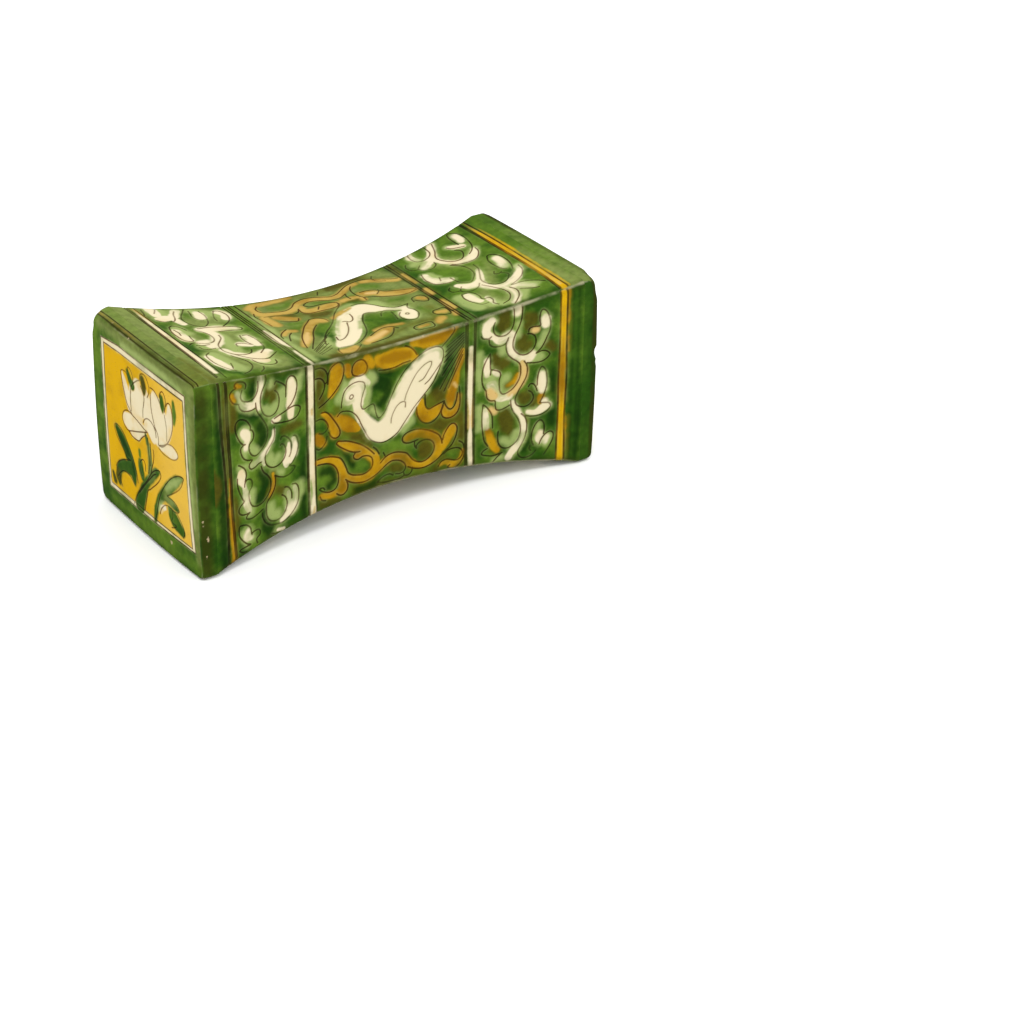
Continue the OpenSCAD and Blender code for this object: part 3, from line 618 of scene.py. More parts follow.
TOP_LEFT_PAINT = (
    ("leaf", (-78, 22, 1.4, -76, 16, 1.6, -73.4, 8, 2, -74.4, 2, 1.6)),
    ("leaf", (-78, 39, 1.6, -76, 36, 1)),
    ("leaf", (-63, -13, 2, -59, -13.4, 2, -56.6, -13.6, 1)),
    ("leaf", (-47.8, 12, 1, -49.4, 0, 1.4, -49, -20, 1)),
    ("leaf", (-71, 34, 2, -69, 30, 2)),
    ("pale", (-80.6, 38, 1.6, -80, 33, 1.6)),
    ("pale", (-82, 16, 1.6, -80.6, 10, 1.4)),
    ("pale", (-81.6, -7, 1.6, -78.4, -8, 1.4)),
    ("pale", (-82, -18, 1.4, -80.4, -26, 1.6, -78, -35, 1.8)),
    ("pale", (-63, -31, 2, -58.4, -29.6, 1.2)),
    ("pale", (-68, -14, 1, -66, 5, 0.8)),
    ("pale", (-64, 36, 1, -56, 31, 1.4, -52, 26, 1)),
    ("cream", (-83.4, 43, 1.3, -83.4, 38, 1.4, -84, 33.6, 1)),
    ("cream", (-84.4, 28.6, 1.4, -81, 29.8, 1.8, -77.6, 30.2, 1.3, -75, 33.6, 0.9, -72, 38, 0.9)),
    ("cream", (-77.4, 27, 1, -76.4, 22, 0.8)),
    ("cream", (-63.6, 28, 1.2, -62.6, 33, 1.2)),
    ("cream", (-52.2, 32, 0.9, -50.8, 28.6, 0.8, -52.8, 24, 0.7)),
    ("cream", (-71.4, 13, 1.4, -66, 13.6, 1.6, -60, 13, 1.3, -54.4, 11.6, 0.9)),
    ("cream", (-69, 10, 0.8, -68.4, 5, 1, -70, 0.4, 1, -73.4, -4, 1.4, -77, -7, 1.2)),
    ("cream", (-84.8, 13, 0.8, -84.8, 8, 1.4, -84.6, 3, 1.5)),
    ("cream", (-80, -2.4, 0.6, -76, -1.8, 0.7)),
    ("cream", (-55.4, 1, 0.9, -55, -4, 1.7, -54.8, -9, 1)),
    ("cream", (-62, -7.4, 0.7, -58.6, -9, 0.7)),
    ("cream", (-74, -13, 0.6, -72.4, -17, 0.9, -68.6, -20.6, 1.1, -64, -22.6, 1.6, -59, -22, 1.9,
               -54.8, -18.8, 1.3)),
    ("cream", (-64.4, -26.6, 1.4, -62, -28, 1.7)),
    ("cream", (-85.8, -20, 0.6, -85.2, -25, 1.4, -84.4, -29.6, 1.4, -83, -33, 1.2)),
)

# The bird in the middle of the top
BIRD_OUTLINE = (
    -24.4, -21, -22.9, -17.4, -19.7, -12.4, -16, -8, -11.9, -4.2, -8.5, -0.5, -5.4, 3.6, -2.9, 7,
    0.3, 10.4,
    4, 13.9, 5.4, 16.4,
)

BIRD_LINES = (
    BIRD_OUTLINE,
    (7.1, -2.7, 4.6, -6.7, 2.7, -11.7, 0.6, -16.7, -2.2, -20.5, -6, -23.9, -9.7, -26.4, -14.7, -27.7,
     -20, -27),
    (3.3, 3.2, 2.8, 0, 0.9, -3.4, -1.3, -4.2, -2.6, -2.7, -4, -2.4),
    (-2.8, -4.4, -5.6, -10.4, -9.6, -15.8, -13.8, -19.2, -16.4, -19.6, -15.8, -15.8),
    (7.1, -2.7, 9, -0.4, 12, -0.6, 14, -2.4, 17.4, -3, 20, -3.4, 23, -6, 25.4, -8.4),
    (14.7, -7.4, 16, -4.9, 17.9, -3),
    (9, 11, 14, 10, 18, 5.6, 21, 0.6, 26, -3.6, 31, -3.8),
    (21, -6.1, 20.4, -10.5, 19.4, -14.9),
    (31.9, -3.6, 29.7, -7.4, 31, -11.1, 31, -14.9, 29.1, -18, 26.6, -19.9, 23.4, -19, 21.6, -16, 22, -12,
     24, -9.4),
    (25.2, -12.6, 26, -11.7, 26.9, -12.4, 26.2, -13.7, 25.2, -12.6),
)

BIRD_PAINT = (
    ("cream", (-20, -25.6, 0.8, -14, -22, 4, -9, -16, 5.4, -4, -8, 5.8, 1, -1, 5, 7, 4, 4.4, 12, 4.6, 4.2,
               16.6, 1.4, 2.8, 19, -0.8, 1.4)),
    ("cream", (18, 0.4, 1.6, 21.4, -2.4, 0.9, 24.6, -4.6, 0.7, 28, -6.4, 0.9)),
    ("cream", (28.4, -6.4, 1, 27.6, -9, 1.6, 26.4, -13, 4, 26, -15.4, 3.4)),
    ("wash", (-5.4, 3.4, 0.8, -1, 5.6, 1.2, 3, 7, 1, 7, 8.6, 0.5)),
)

# Incised lines of the vines round the bird
TOP_VINE_LINES = (
    (-10.1, -28.9, -12.9, -31.7, -16, -34.2, -19.1, -35.5, -22.2, -36.7),
    (-23.2, -33.7, -23, -30, -21.6, -27.4),
    (-16.6, 7.6, -19.1, 5.1, -22.9, 1.4, -26.6, -3.6, -30.4, -9.2, -33.5, -16.7, -34.7, -21.1),
    (-16.6, 7.6, -13, 7.4, -10, 5, -9.2, 1.4),
    (-16.6, 0.7, -19.7, -2.4, -22.9, -6.7, -26, -12.4, -29.7, -18, -32.9, -23),
    (-32.6, 2, -36.6, -1.1, -38.8, -4.2, -39.4, -7.4),
    (-32.2, -2.4, -34.7, -4.9, -36.3, -8, -37.6, -11),
    (-14.7, 20.7, -17.2, 17, -20.4, 16.6, -25, 18, -30, 18.6, -34.6, 19),
    (-20.4, 11, -22, 8.6, -26, 9.4, -30, 11.4),
    (-31.3, 32, -33.8, 28.6, -33, 24.6, -28, 22.6, -22, 21.6, -17, 23.6, -13, 27.6, -8, 29.8, -3, 29.4,
     2, 27, 6, 25.2, 10, 26, 14, 28.6, 19, 31.6, 25, 32.8, 30, 31.8, 35, 28, 40, 24, 43, 22.4),
    (-37.2, 24.5, -38.5, 20.7, -37, 14, -36.6, 8),
    (-4.7, 18.2, -6.6, 15.7),
    (-15, 20, -15, 16, -12, 13.8, -6, 13.6, 0, 13.4, 4, 14.6, 5, 17.6, 1, 19.6, -5, 20, -9, 20.6,
     -10.4, 23,
     -7, 25.4, -2, 24.8, 4, 21.8, 9, 21.4, 13, 23.4),
    (20, 29.5, 18.2, 27, 17.2, 23.2, 17.2, 20.7, 17.6, 18.2, 18.8, 15.1, 18.5, 12),
    (13.5, 23.9, 12.6, 20.7, 12.9, 17.6),
    (34.1, 32.6, 32.6, 30.1, 33.6, 26.6, 37, 24),
    (28.8, 18.2, 28.2, 16.4, 26, 14.5),
    (20, 21, 24, 20.6, 27.6, 18.6, 31, 14.4, 36, 11.4, 41, 8.8, 43.6, 7),
    (18.8, 15.4, 23, 13, 28, 9.6, 34, 6.4, 39, 5.4, 43.4, 6.2),
    (3.5, 33.2, 1.6, 30.1),
    (37.2, 0.1, 36, -1.1, 35.4, -4.2),
    (37.2, 0.1, 40.4, 0.4, 42.2, -1.1, 42.6, -5.5, 41.3, -7.7, 38.6, -6, 36.6, -3),
    (36, -19.9, 37.2, -18.3, 39.7, -18.3, 42.9, -18.6, 43.2, -23, 42.2, -26.1, 39, -25, 36.6, -22.6,
     36, -19.9),
    (12.6, -21.7, 11, -24.2, 7.9, -27.4, 4.7, -28.9, 0, -29.6, -5, -30),
    (-0.9, -22.7, 4.1, -19.9, 9.1, -18.6, 12.6, -19.8, 14.4, -23),
    (20, -27.7, 21.3, -26.4, 25, -26.2, 30, -26.7, 30.2, -29.2, 29.1, -32, 24, -31.4, 20.6, -30.4,
     20, -27.7),
)

# Reeds drawn side by side on the left of the bird
TOP_REED_LINES = (
    (-33.5, -25.2, -15.6, -9.6),
    (-33.4, -26.4, -19.6, -13.8),
    (-33.6, -27.4, -22.4, -17.8),
    (-33.6, -28.6, -22.6, -20.4),
    (-33.4, -29.8, -22.8, -23),
    (-32.8, -30.8, -24, -26),
)

# Glazes of the vines round the bird
TOP_VINE_PAINT = (
    ("leaf", (-26, 27, 2, -20, 26, 2.4, -16, 29, 1.8)),
    ("leaf", (-18, -6, 1.6, -14, -3, 1.6)),
    ("leaf", (-28, 6, 1.6, -22, 6, 1.4)),
    ("leaf", (12, -5, 2.6, 17, -8, 2.2, 22, -5.6, 1)),
    ("leaf", (27, 4, 2, 34, 2, 2)),
    ("leaf", (34, -12, 2, 40, -30, 2)),
    ("leaf", (-4, 22.4, 1.6, 2, 20.6, 1.4)),
    ("leaf", (24, 27, 2, 30, 22, 2.4)),
    ("olive", (-12, 10, 2, -6, 9.6, 2, -14, 14, 1.4)),
    ("olive", (-28, 17, 1, -22, 15, 1.2)),
    ("olive", (10, 33, 2, 26, 35, 1.4)),
    ("olive", (10, 18, 1.4, 16, 15, 1.2)),
    ("olive", (-28, -35, 1, 10, -35, 1, 34, -35, 1)),
    ("pale", (-21, -16, 1.4, -23.6, -22, 1.6)),
    ("pale", (18.6, 8, 1.2, 21, 3, 1)),
    ("pale", (2, 10, 1, 8, 11, 1.2)),
    ("pale", (-35, -6, 1.2, -32, -12, 1)),
    ("wash", (-37, 30, 1.2, -33.6, 32.4, 1.7, -28, 33.4, 1.5, -20, 33.8, 1.3, -12, 34.4, 0.8)),
    ("wash", (-35.4, 28, 1.6, -34.8, 22.4, 1.7, -30, 21, 1.4, -25, 20.2, 1.4, -20.6, 19.6, 1.5,
              -16.4, 21.8, 1.6, -13, 25.4, 1.6, -8.4, 27.3, 1.6, -4, 27.2, 1.5, 1, 25.4, 1.4,
              5.4, 23.6, 1.4,
              9.4, 24, 1.4, 13.4, 26.2, 1.4, 18, 29.2, 1.2, 23, 30.6, 0.8)),
    ("wash", (27, 30.2, 0.7, 32, 28, 0.8, 36.4, 24.6, 0.8, 42, 21.4, 0.8)),
    ("wash", (-12.4, 22, 1.2, -13.4, 17.4, 1.7, -9, 15.4, 1.8, -3, 16, 2.1, 2, 16, 2, 5, 17, 1.2)),
    ("wash", (8, 17.6, 0.9, 13, 18, 1, 17.4, 16.6, 0.9, 18, 13.4, 0.8)),
    ("wash", (19.6, 19.8, 1.2, 22.4, 18.2, 2.2, 25.6, 16.4, 2, 28, 13.2, 2, 33.6, 9.8, 2.1,
              38.6, 7.6, 1.7,
              42, 6.6, 1)),
    ("wash", (-35, 18, 1.4, -35, 11, 2, -33.6, 8, 1.2)),
    ("wash", (-30, 16, 1.2, -26, 13, 1.6, -22, 10.6, 1.4)),
    ("wash", (-34.6, -18.6, 1.2, -31, -14, 2, -27, -8.4, 2, -23, -2, 1.9, -19, 2.4, 2, -14.6, 4.6, 1.8,
              -11, 3, 1.2)),
    ("wash", (-37, -4, 0.5, -34, -0.6, 0.8, -30, -1.4, 0.9)),
    ("wash", (-22, -31.6, 1, -18, -32, 1.6, -14, -30.4, 1)),
    ("wash", (-7, -28.6, 1, -3, -26.8, 1.8, 2, -25, 2.4, 7, -22.6, 2.4, 11, -20.8, 1.2)),
    ("wash", (4, -19.4, 0.5, 11, -18.4, 0.7, 18, -20.4, 0.6)),
    ("wash", (23, -28.6, 0.4, 27, -28.8, 0.5)),
    ("wash", (33, -29.6, 1.2, 36, -27.4, 1.5)),
    ("wash", (38, -21, 0.5, 41, -22.4, 0.9)),
    ("wash", (39, -2.4, 0.6, 41, -4.6, 0.8)),
    ("tan", (-32.4, -16, 0.3, -28.6, -10.4, 0.6, -25.6, -6, 0.2)),
    ("tan", (-5, -27.2, 0.2, 1, -25.2, 0.9, 7, -22.8, 0.7)),
    ("tan", (22, 18, 0, 25.6, 16.2, 0.3)),
)

# Scrolls in the right panel of the top: their incised lines, then their glazes
TOP_RIGHT_LINES = (
    (69.9, 41, 68.8, 32.9, 66.3, 30, 62.7, 28.6),
    (59.5, 40, 58.4, 33.6, 59.4, 30, 62.7, 28.6),
    (74.5, 40, 71.3, 32.1, 68.8, 27.9, 68.1, 25, 69.9, 20, 73.4, 16.4, 77, 16.1, 79.9, 19.3, 80.9, 22.9,
     79, 26),
    (77.4, 31, 78.6, 28.6, 82, 26.6, 84.6, 25.4),
    (83.4, 29, 83.4, 33.6, 83.8, 38.6, 85.2, 42.1, 87.7, 41, 89.5, 36.4, 89.1, 29.3, 87.4, 22.9,
     84.9, 19.3,
     82, 17.1),
    (87.4, 20, 86.6, 16, 82.7, 11.4, 79.1, 10.7, 74, 12, 70, 15),
    (65.2, 23.6, 64.5, 20.7, 60.6, 18.6, 57.4, 20, 55.6, 22.9, 58.1, 25.7),
    (53, 31, 51.6, 28, 52.6, 24, 55.6, 22.6),
    (53.4, 17.1, 52, 12.1, 52, 8.6, 53.4, 4, 57, 1.6, 60, 0.6),
    (58.4, 8.6, 57, 5),
    (62, 4.3, 62.4, 0, 63, -3, 67, -6.4, 70.6, -3.6, 73.1, 0, 73.8, 5, 72.7, 10, 69.1, 15),
    (77.4, 7.1, 77, 2.1, 74.1, -3.6, 71.6, -8.6, 71.6, -12.9, 74.1, -17.5, 78.4, -18.9, 82, -16.8,
     84.1, -13.6, 82, -10),
    (86.6, 8.6, 84.5, 4.3, 84.1, -1.4, 84.9, -7.1, 86.6, -9),
    (86.6, 8.6, 88.4, 8.6, 90.9, 4.3, 91.3, -1.4, 90.2, -7.1, 88.4, -11.4),
    (80.6, -6.4, 79.4, -8.6, 81, -10, 83, -9.4),
    (92, -10.7, 91.3, -15, 88.4, -19.3, 84.1, -22.1, 79.1, -23.6),
    (69.1, -10.7, 67, -13.2, 62.7, -14.3, 59.4, -13, 58.4, -10.7, 60.9, -7.1),
    (56.3, -4, 54.4, -6, 55, -9, 58.4, -10.4),
    (56.3, -14.3, 55.2, -18.6, 56.3, -25, 58.4, -29.3, 61.4, -30),
    (57, -13.8, 60.9, -15.7, 62, -20.7, 61.4, -25, 64.4, -26, 64.6, -29, 63, -32, 64, -35),
    (77, -25, 78.1, -29.3, 76.3, -34.3, 72.7, -37.9, 69.9, -40),
    (69, -13, 71.4, -18.4, 73.8, -25.7, 73.4, -30.7, 70, -35, 66, -36),
    (79, -24, 84.9, -25.7, 89.1, -29.3, 92, -33.6),
    (79.9, -30, 84.1, -34.3, 87, -36),
)

TOP_RIGHT_PAINT = (
    ("leaf", (63, 38, 2, 66, 35, 2)),
    ("leaf", (54, 24, 1.4, 56, 20, 1)),
    ("leaf", (76, 24, 3, 79, 36, 2.4, 91, 30, 1.4)),
    ("leaf", (75, 9, 1.6, 80, 6, 2, 78, -1, 1.6)),
    ("leaf", (67, 10, 2, 68, 4, 3)),
    ("leaf", (92, 12, 0.8, 92.4, 0, 0.7)),
    ("leaf", (70, -28, 2, 70, -22, 1.4)),
    ("leaf", (90, -22, 1.6, 88, -39, 1.4)),
    ("pale", (55.4, 14, 1, 57, 9, 1)),
    ("pale", (53.4, -16, 1.4, 53, -24, 1.8, 55, -31, 1.8)),
    ("pale", (59, -19, 1.6, 60, -28, 1.8, 66, -36, 1.4)),
    ("pale", (84, -27, 2, 88, -32, 1.2)),
    ("pale", (59, 29, 1.4, 56, 28, 1.2)),
    ("pale", (80, -34, 1.2, 76, -39, 1)),
    ("cream", (59.8, 39.4, 0.8, 59, 34.4, 1, 60, 31.4, 0.7)),
    ("cream", (73.4, 40, 0.9, 70.4, 34.6, 1.3, 68, 29.8, 1.6, 64.4, 26.2, 1.7, 61, 23.6, 1.4,
               58.4, 21.8, 0.7)),
    ("cream", (66.8, 27.4, 1.2, 67.4, 23.4, 1.1, 69.4, 19, 1.1, 73, 14.8, 1.3, 77, 13.2, 1.8,
               81, 13.6, 1.7,
               84.4, 16.6, 1.3, 86, 19.4, 0.6)),
    ("cream", (78.6, 30, 0.8, 80.6, 28.2, 1.1, 84, 26.2, 0.9)),
    ("cream", (86.8, 38, 0.9, 87, 34, 1.1, 86.2, 30.6, 0.7)),
    ("cream", (54, 14.6, 0.9, 54, 10, 1.5, 55.6, 5.6, 1.9, 59, 3.2, 1.7, 61.2, 2.2, 0.8)),
    ("cream", (76, 1, 0.6, 74, -3.6, 0.9, 71.4, -8, 1.2, 68, -10, 1.3, 64, -9.4, 1.6, 61.4, -7, 1.3,
               60, -5, 0.9)),
    ("cream", (69.6, -11, 1.2, 70, -16, 1.3, 73, -20.2, 1.5, 77, -21.8, 1.8, 81.4, -20.8, 1.9,
               86, -18.6, 1.6,
               90, -15, 1, 91.2, -11.6, 0.7)),
    ("cream", (88.6, 3, 0.8, 88.4, -2, 1.1, 87, -6, 0.7)),
    ("cream", (75.4, -22.6, 1.4, 76, -28, 1.8, 74.8, -33.6, 1.8, 71.4, -38, 1.4)),
    ("cream", (79, -25, 1.6, 83, -29.4, 1.3, 85.6, -33, 0.7)),
    ("cream", (57.6, -17, 1, 58, -22, 1.3, 59.4, -26, 1)),
    ("cream", (63.6, -25.4, 0.7, 63.6, -30, 0.8, 63, -33, 0.6)),
)

# The frame of the end picture is drawn by hand, so its corners are not quite square
FRAME_OUTER = ((-43.4, 38.5), (-26, 40.6), (37, 40.4), (41.2, -38.3), (-42.8, -40.2))
FRAME_INNER = ((-40.7, 36.6), (-24, 37.6), (35.4, 37.3), (38.5, -36.9), (-41, -37.7))

# The frame and the lotus sit a little off the middle of the end
LOTUS_MIDDLE = (4.2, 1.6)

# The lotus with its leaves and stems: the incised lines, then the glazes
LOTUS_LINES = (
    (-18.6, 30, -21, 30, -23.3, 29, -22.7, 24.3, -21, 19, -19, 14.3, -16.3, 11.7, -14.3, 10.3),
    (-18.6, 30, -16.6, 28.6, -14.7, 25.7),
    (-16.7, 31, -16.3, 33.5, -14.7, 33.5, -12.7, 32, -11.7, 29.7, -11.7, 27),
    (-14.7, 11.7, -15, 16.3, -14.7, 20.3, -14, 23.7, -12.3, 26.3, -9, 29, -6.3, 30.7, -5, 31),
    (-3.3, 13, -3, 17, -2, 20.3, -1.3, 23.7, -2.3, 26.3, -4.3, 28.7),
    (-5, 31.7, -4.3, 34.3, -2.3, 35.7, 0.3, 35.8, 2.3, 34.3, 4, 31, 3.3, 27.7, 1.7, 25.3),
    (5, 29, 5, 24.3, 5.3, 20.3, 7, 15, 8.3, 11, 8.7, 8.3),
    (5, 31.7, 8.3, 31.7, 11.7, 29.7, 13.6, 27.4),
    (13.7, 30.3, 14.7, 33, 16.7, 34.3, 18.7, 32.7, 19.3, 30.3, 19, 27.7, 17.7, 24.3),
    (17.7, 23, 19, 18.3, 19.3, 13.7, 19, 10.3),
    (19.7, 28.3, 20.7, 30, 22.7, 30.8, 24.4, 29.4, 25.3, 23.7, 24.7, 18.3, 22.7, 13.7, 20.3, 10.3,
     17.7, 7.7,
     14.3, 5.3, 11, 4.7),
    (-3.3, 10.3, -1.7, 12.7, 1, 14.1, 4.3, 14, 7, 12.3, 8.7, 9.7, 8.7, 7.7),
    (7.7, 13, 10.3, 10.3, 11, 7, 10.7, 5),
    (11.7, 5, 15.7, 6.7, 19.7, 9, 24.3, 9.8, 28.3, 8.7, 29.3, 6.7, 27.7, 4.7, 24.3, 3, 19, 2.2,
     14.3, 2.3, 11, 3.3),
    (-24.3, 3.4, -24.3, 5, -23, 7.7, -20.3, 9.7, -17, 10.3, -13.7, 9.7, -8.3, 8.7, -3, 7.3, 0.3, 6.7),
    (-24.3, 3.4, -22, 0.6, -19, -0.2, -14.3, 1.3, -9.7, 2.9, -4.3, 5, 0.3, 6.7),
    (-19, -0.2, -15, -1.6, -11, -1.8, -8.3, -1.3, -6.3, 0.7, -3.7, 3, -1, 4.7),
    (0.3, 4, 0.3, -1, 1, -5.7, 0.7, -10.3, -0.4, -15),
    (5.2, 0, 5.7, -2.3, 5, -6.3, 3.3, -10.3, 1.7, -14.3),
    (2.6, 2, 2.8, -4, 2, -10),
    (-33.3, -5.7, -33.3, -3.3, -31, -2, -27.7, -2.3, -23.7, -4.3, -20.3, -7.7, -17, -11.7, -14.7, -15.7,
     -13, -19.7, -12, -25),
    (-33.3, -5.7, -31.7, -8.3, -28.3, -11, -24.3, -13.7, -21.7, -15.7, -18.3, -16),
    (-18.3, -16, -22.3, -17.3, -26.3, -19, -30.3, -21.3, -33, -23.7, -34.7, -26),
    (-33, -30.7, -31, -28.3, -28.3, -26, -25.7, -24.9, -22.3, -24.7, -19, -25.3, -15.7, -27.7),
    (-30.6, -29, -30.4, -32, -29, -34.6),
    (-17.7, -38.7, -13.7, -32.3, -9, -26.3, -4.3, -21.7, -0.3, -17, 3.7, -12.3, 7.7, -9.7, 10.7, -9,
     11.7, -11, 10.3, -13.7, 7, -17.3, 3, -20.7, 0, -23.3, -1.7, -24.3, -3.3, -28.3, -5, -33, -6.3, -37),
    (-11, -29.7, -5, -23, 0.3, -17.7, 4.3, -13.7, 7, -12),
    (-7, -19.3, -8.7, -16.3, -8.7, -13, -7, -10.7, -5, -9.8, -3.3, -11.7, -3.3, -15),
    (16.7, -19, 21, -16.3, 25.7, -13, 29.3, -10, 31.7, -7, 33, -4.3, 33.7, -2.7, 30, -3, 25.7, -5,
     21, -8.3,
     17, -12.3, 13.7, -16.3, 11, -20.3, 8.3, -25.7, 6.3, -31.7, 4, -37.6),
    (9, -32, 10.3, -29, 12.3, -26.7, 15, -24.7, 18.3, -24, 21.6, -24.4, 25, -24.2, 27.3, -23, 28.1, -22),
    (16.7, -19, 20.3, -19, 23.7, -19.2, 26.3, -20.3, 28, -22),
    (21, -25, 21.4, -28, 20, -31, 24.3, -31.7, 22.3, -33.3, 19.7, -34.3),
    (26, -24.6, 30, -28, 32, -32, 30.4, -35),
)

LOTUS_PAINT = (
    ("slip", (-22, 28.8, 0.8, -20.4, 24.6, 2.2, -18.2, 19.4, 3.2, -15.4, 14.6, 3.6, -12.4, 11.4, 3)),
    ("slip", (-6, 29.8, 0.8, -7.6, 27, 3.6, -8, 22, 6.2, -8.6, 16, 6.4, -8, 11.4, 4.4)),
    ("slip", (-14.6, 25, 0.6, -14.4, 20, 2, -13.6, 14, 2.4)),
    ("slip", (0.6, 27.4, 1.4, 1.4, 22, 4, 1.6, 17, 4.6, 2, 12, 4.6)),
    ("slip", (5.6, 27, 1, 5.4, 20, 2.2, 5.4, 13, 2.4)),
    ("slip", (16.6, 26, 1.2, 18, 20, 2.4, 17.6, 13, 2.4)),
    ("slip", (8, 30.2, 0.9, 9.4, 27, 3.6, 11.4, 22.4, 6.4, 12.4, 16.4, 6.6, 12, 11, 5.6, 10.4, 7, 3.2)),
    ("slip", (22.4, 29, 1.2, 22.6, 24, 2.8, 21.6, 18, 3.2, 18.8, 12, 3, 14.6, 8, 2.8)),
    ("slip", (1, 10.6, 2.6, 4.4, 9.4, 3.6, 6.4, 6.6, 3)),
    ("slip", (-20, 5, 3.6, -15, 4.8, 4.9, -9, 4.8, 4.2, -3, 6.8, 2.6)),
    ("slip", (-14, 0, 1.6, -9, 0.8, 2)),
    ("slip", (13, 4.6, 1.6, 19, 5.8, 2.8, 24, 6.4, 3.2, 27.4, 6.6, 1.8)),
    ("green", (-16.6, 31.4, 1.6, -14.6, 28, 2.2, -12.4, 25.4, 2.6)),
    ("olive", (-2, 32.6, 2.8, -0.8, 29, 2.8, -0.6, 26, 1.4)),
    ("green", (15.4, 30.6, 2, 16, 27.4, 2.4, 16.4, 24, 1)),
    ("leaf", (26.8, 33, 1, 27.4, 27.6, 2, 27, 22.4, 1.2)),
    ("green", (-1.6, 5, 1.2, 0.4, 1, 1.8)),
    ("sage", (1.2, -1, 1.8, 2, -7.4, 2.2, 0.6, -14.6, 1.8)),
    ("green", (-30.8, -3.8, 2.2, -26.3, -7.4, 3.6, -20.8, -12.6, 4.2, -17, -18.6, 4.4, -15.8, -23, 3,
               -15, -27, 1.4)),
    ("green", (-19.6, -20.6, 4, -26.2, -22, 3.4, -31, -25.6, 3.2, -32.4, -30.6, 3.2)),
    ("olive", (-32.6, -28.6, 2.4, -31.6, -33, 2)),
    ("olive", (-38, -31, 1.6, -36.4, -34.6, 2.2)),
    ("leaf", (-8.4, -6.6, 1.6, -8.2, -9, 1.4)),
    ("green", (-8, -12, 2.4, -7.6, -15.6, 3, -6.2, -20, 2)),
    ("green", (-11.4, -36.6, 4.8, -7.6, -29, 3.8, -3, -21.6, 3, 2.6, -15.8, 3, 7, -11.4, 2.8,
               10, -9.6, 1.2)),
    ("green", (32.2, -3.4, 1.2, 27, -7, 3, 20.4, -12.6, 3.7, 14.8, -18.2, 3.6, 9.4, -24.6, 3,
               5.6, -32, 2.4,
               4, -37.4, 1.8)),
    ("leaf", (30, -5, 1, 24.4, -9, 2.4, 17, -15.6, 2.4)),
    ("pale", (31.6, -4, 0.2, 27, -7, 1.2, 21, -11.4, 1.2, 16.6, -15.4, 0.2)),
    ("green", (15.6, -20.6, 2.4, 21, -20.8, 2.6, 26.4, -22, 1.4)),
    ("sage", (16.6, -20.6, 1, 22, -21, 1.2)),
    ("green", (18.4, -24.8, 1.8, 22.6, -28.4, 4.4, 29.6, -32, 3)),
    ("leaf", (20.6, -26.6, 1, 24, -29.4, 2)),
    ("deep_and_shade", (-30, -4.6, 0.2, -25.6, -8, 1.4, -20.6, -12.8, 0.8)),
    ("deep_and_shade", (-16, -16, 0.6, -15, -21, 0.8)),
    ("cream", (9.8, -30, 0.8, 11.6, -27.8, 1.5, 14.4, -26.2, 1.1)),
)

# Glazes on the border outside the frame
END_BORDER_PAINT = (
    ("sage", (-46, 45, 1.6, -20, 46, 2.6, 20, 46, 3.4, 44, 45, 3.4)),
    ("sage", (42, 40, 3, 43.6, 0, 3.6, 44.6, -40, 2.4)),
    ("leaf", (-48, 30, 2, -48.4, 0, 2)),
    ("leaf", (-40, -45, 2, 10, -46, 3, 40, -45, 2)),
    ("pale", (-22, 42.6, 0.6, -4, 42.8, 1.3, 12, 43, 1.6, 26, 42.4, 1.2, 34, 41.6, 0.7)),
    ("pale", (39.4, 30, 0.3, 40.4, 10, 0.5, 42.4, -24, 0.6)),
)

# Chips in the glaze, from the middle of the pillow: along, towards the back, up, and the chip's radius
CHIPS = (
    (112, -50, -34, 0.9), (112, 20, 49.6, 0.9), (112, -18, 49.6, 0.7),
    (-109.8, -50, -18.6, 0.4), (-109.6, -50, -19.6, 0.5),
    (-109.7, -50, -20.8, 0.5), (-109.5, -50, -22, 0.4),
    (-107.4, -50, -27, 0.3), (-107.6, -50, -28, 0.5),
    (-107.3, -50, -29.2, 0.5), (-107.6, -50, -30.2, 0.3),
    (-108.2, -50, -37, 0.4), (-108, -50, -38, 0.4),
    (-108.6, -48.9, 49.4, 0.7), (-106.4, -49, 49.5, 0.6),
    (-112.2, -23, -41, 1.0), (-111, 12, 49.6, 0.8), (-110, 30, 49.8, 0.6),
    (-62, -41.8, 41.8, 0.9), (18, -37.4, 37.4, 0.9), (66, -42.4, 42.4, 1.0), (88, -46.5, 46.5, 0.9),
)

# Dents under the glaze, given in the same way
DENTS = (
    (113.4, -51, 9, 4.8), (113.6, -51.2, 4, 3.6),
)

# Depth of chips and dents at their middle, as a share of their radius
DENT_DEPTH = 0.5

# Scale of the slow waves in the hand-made faces, in millimetres to a radian
SWELL_SCALE = 17.0

# Radius of the less worn corners of an end, as a share of the most worn corner's
LESS_WORN = 0.6

# The rounding is full over this share of an end's thickness. Along the edges it starts and is full
# at these distances, in radii
WORN_FULL = 0.35
WORN_REACH = 2.0
WORN_NEAR = 0.8

# Stain along the long edges: its strength, and how far from the edge it starts and is full
EDGE_STAIN = 0.5
EDGE_STAIN_START = 4.0
EDGE_STAIN_FULL = 0.8

# The long edges are spared some wear and painted highlight towards the left end: how much, and from where
# to where it grows
EDGE_SPARED = 0.7
SPARED_FROM = -30
SPARED_TO = -60

# Wear and painted highlight on the edges of the end slabs, by the way that they face: how much the rim is
# spared, and the seams
RIM_SPARED = {-1: 0.8, 1: 0.6}
SEAM_SPARED = 0.4

# Stain along the rims: its strength behind the rim and on the face, and how far off it starts and is full
STAIN_BEHIND = 0.9
STAIN_ON_FACE = 0.35
STAIN_START = 4.4
STAIN_FULL = {-1: 0.3, 1: 2.8}

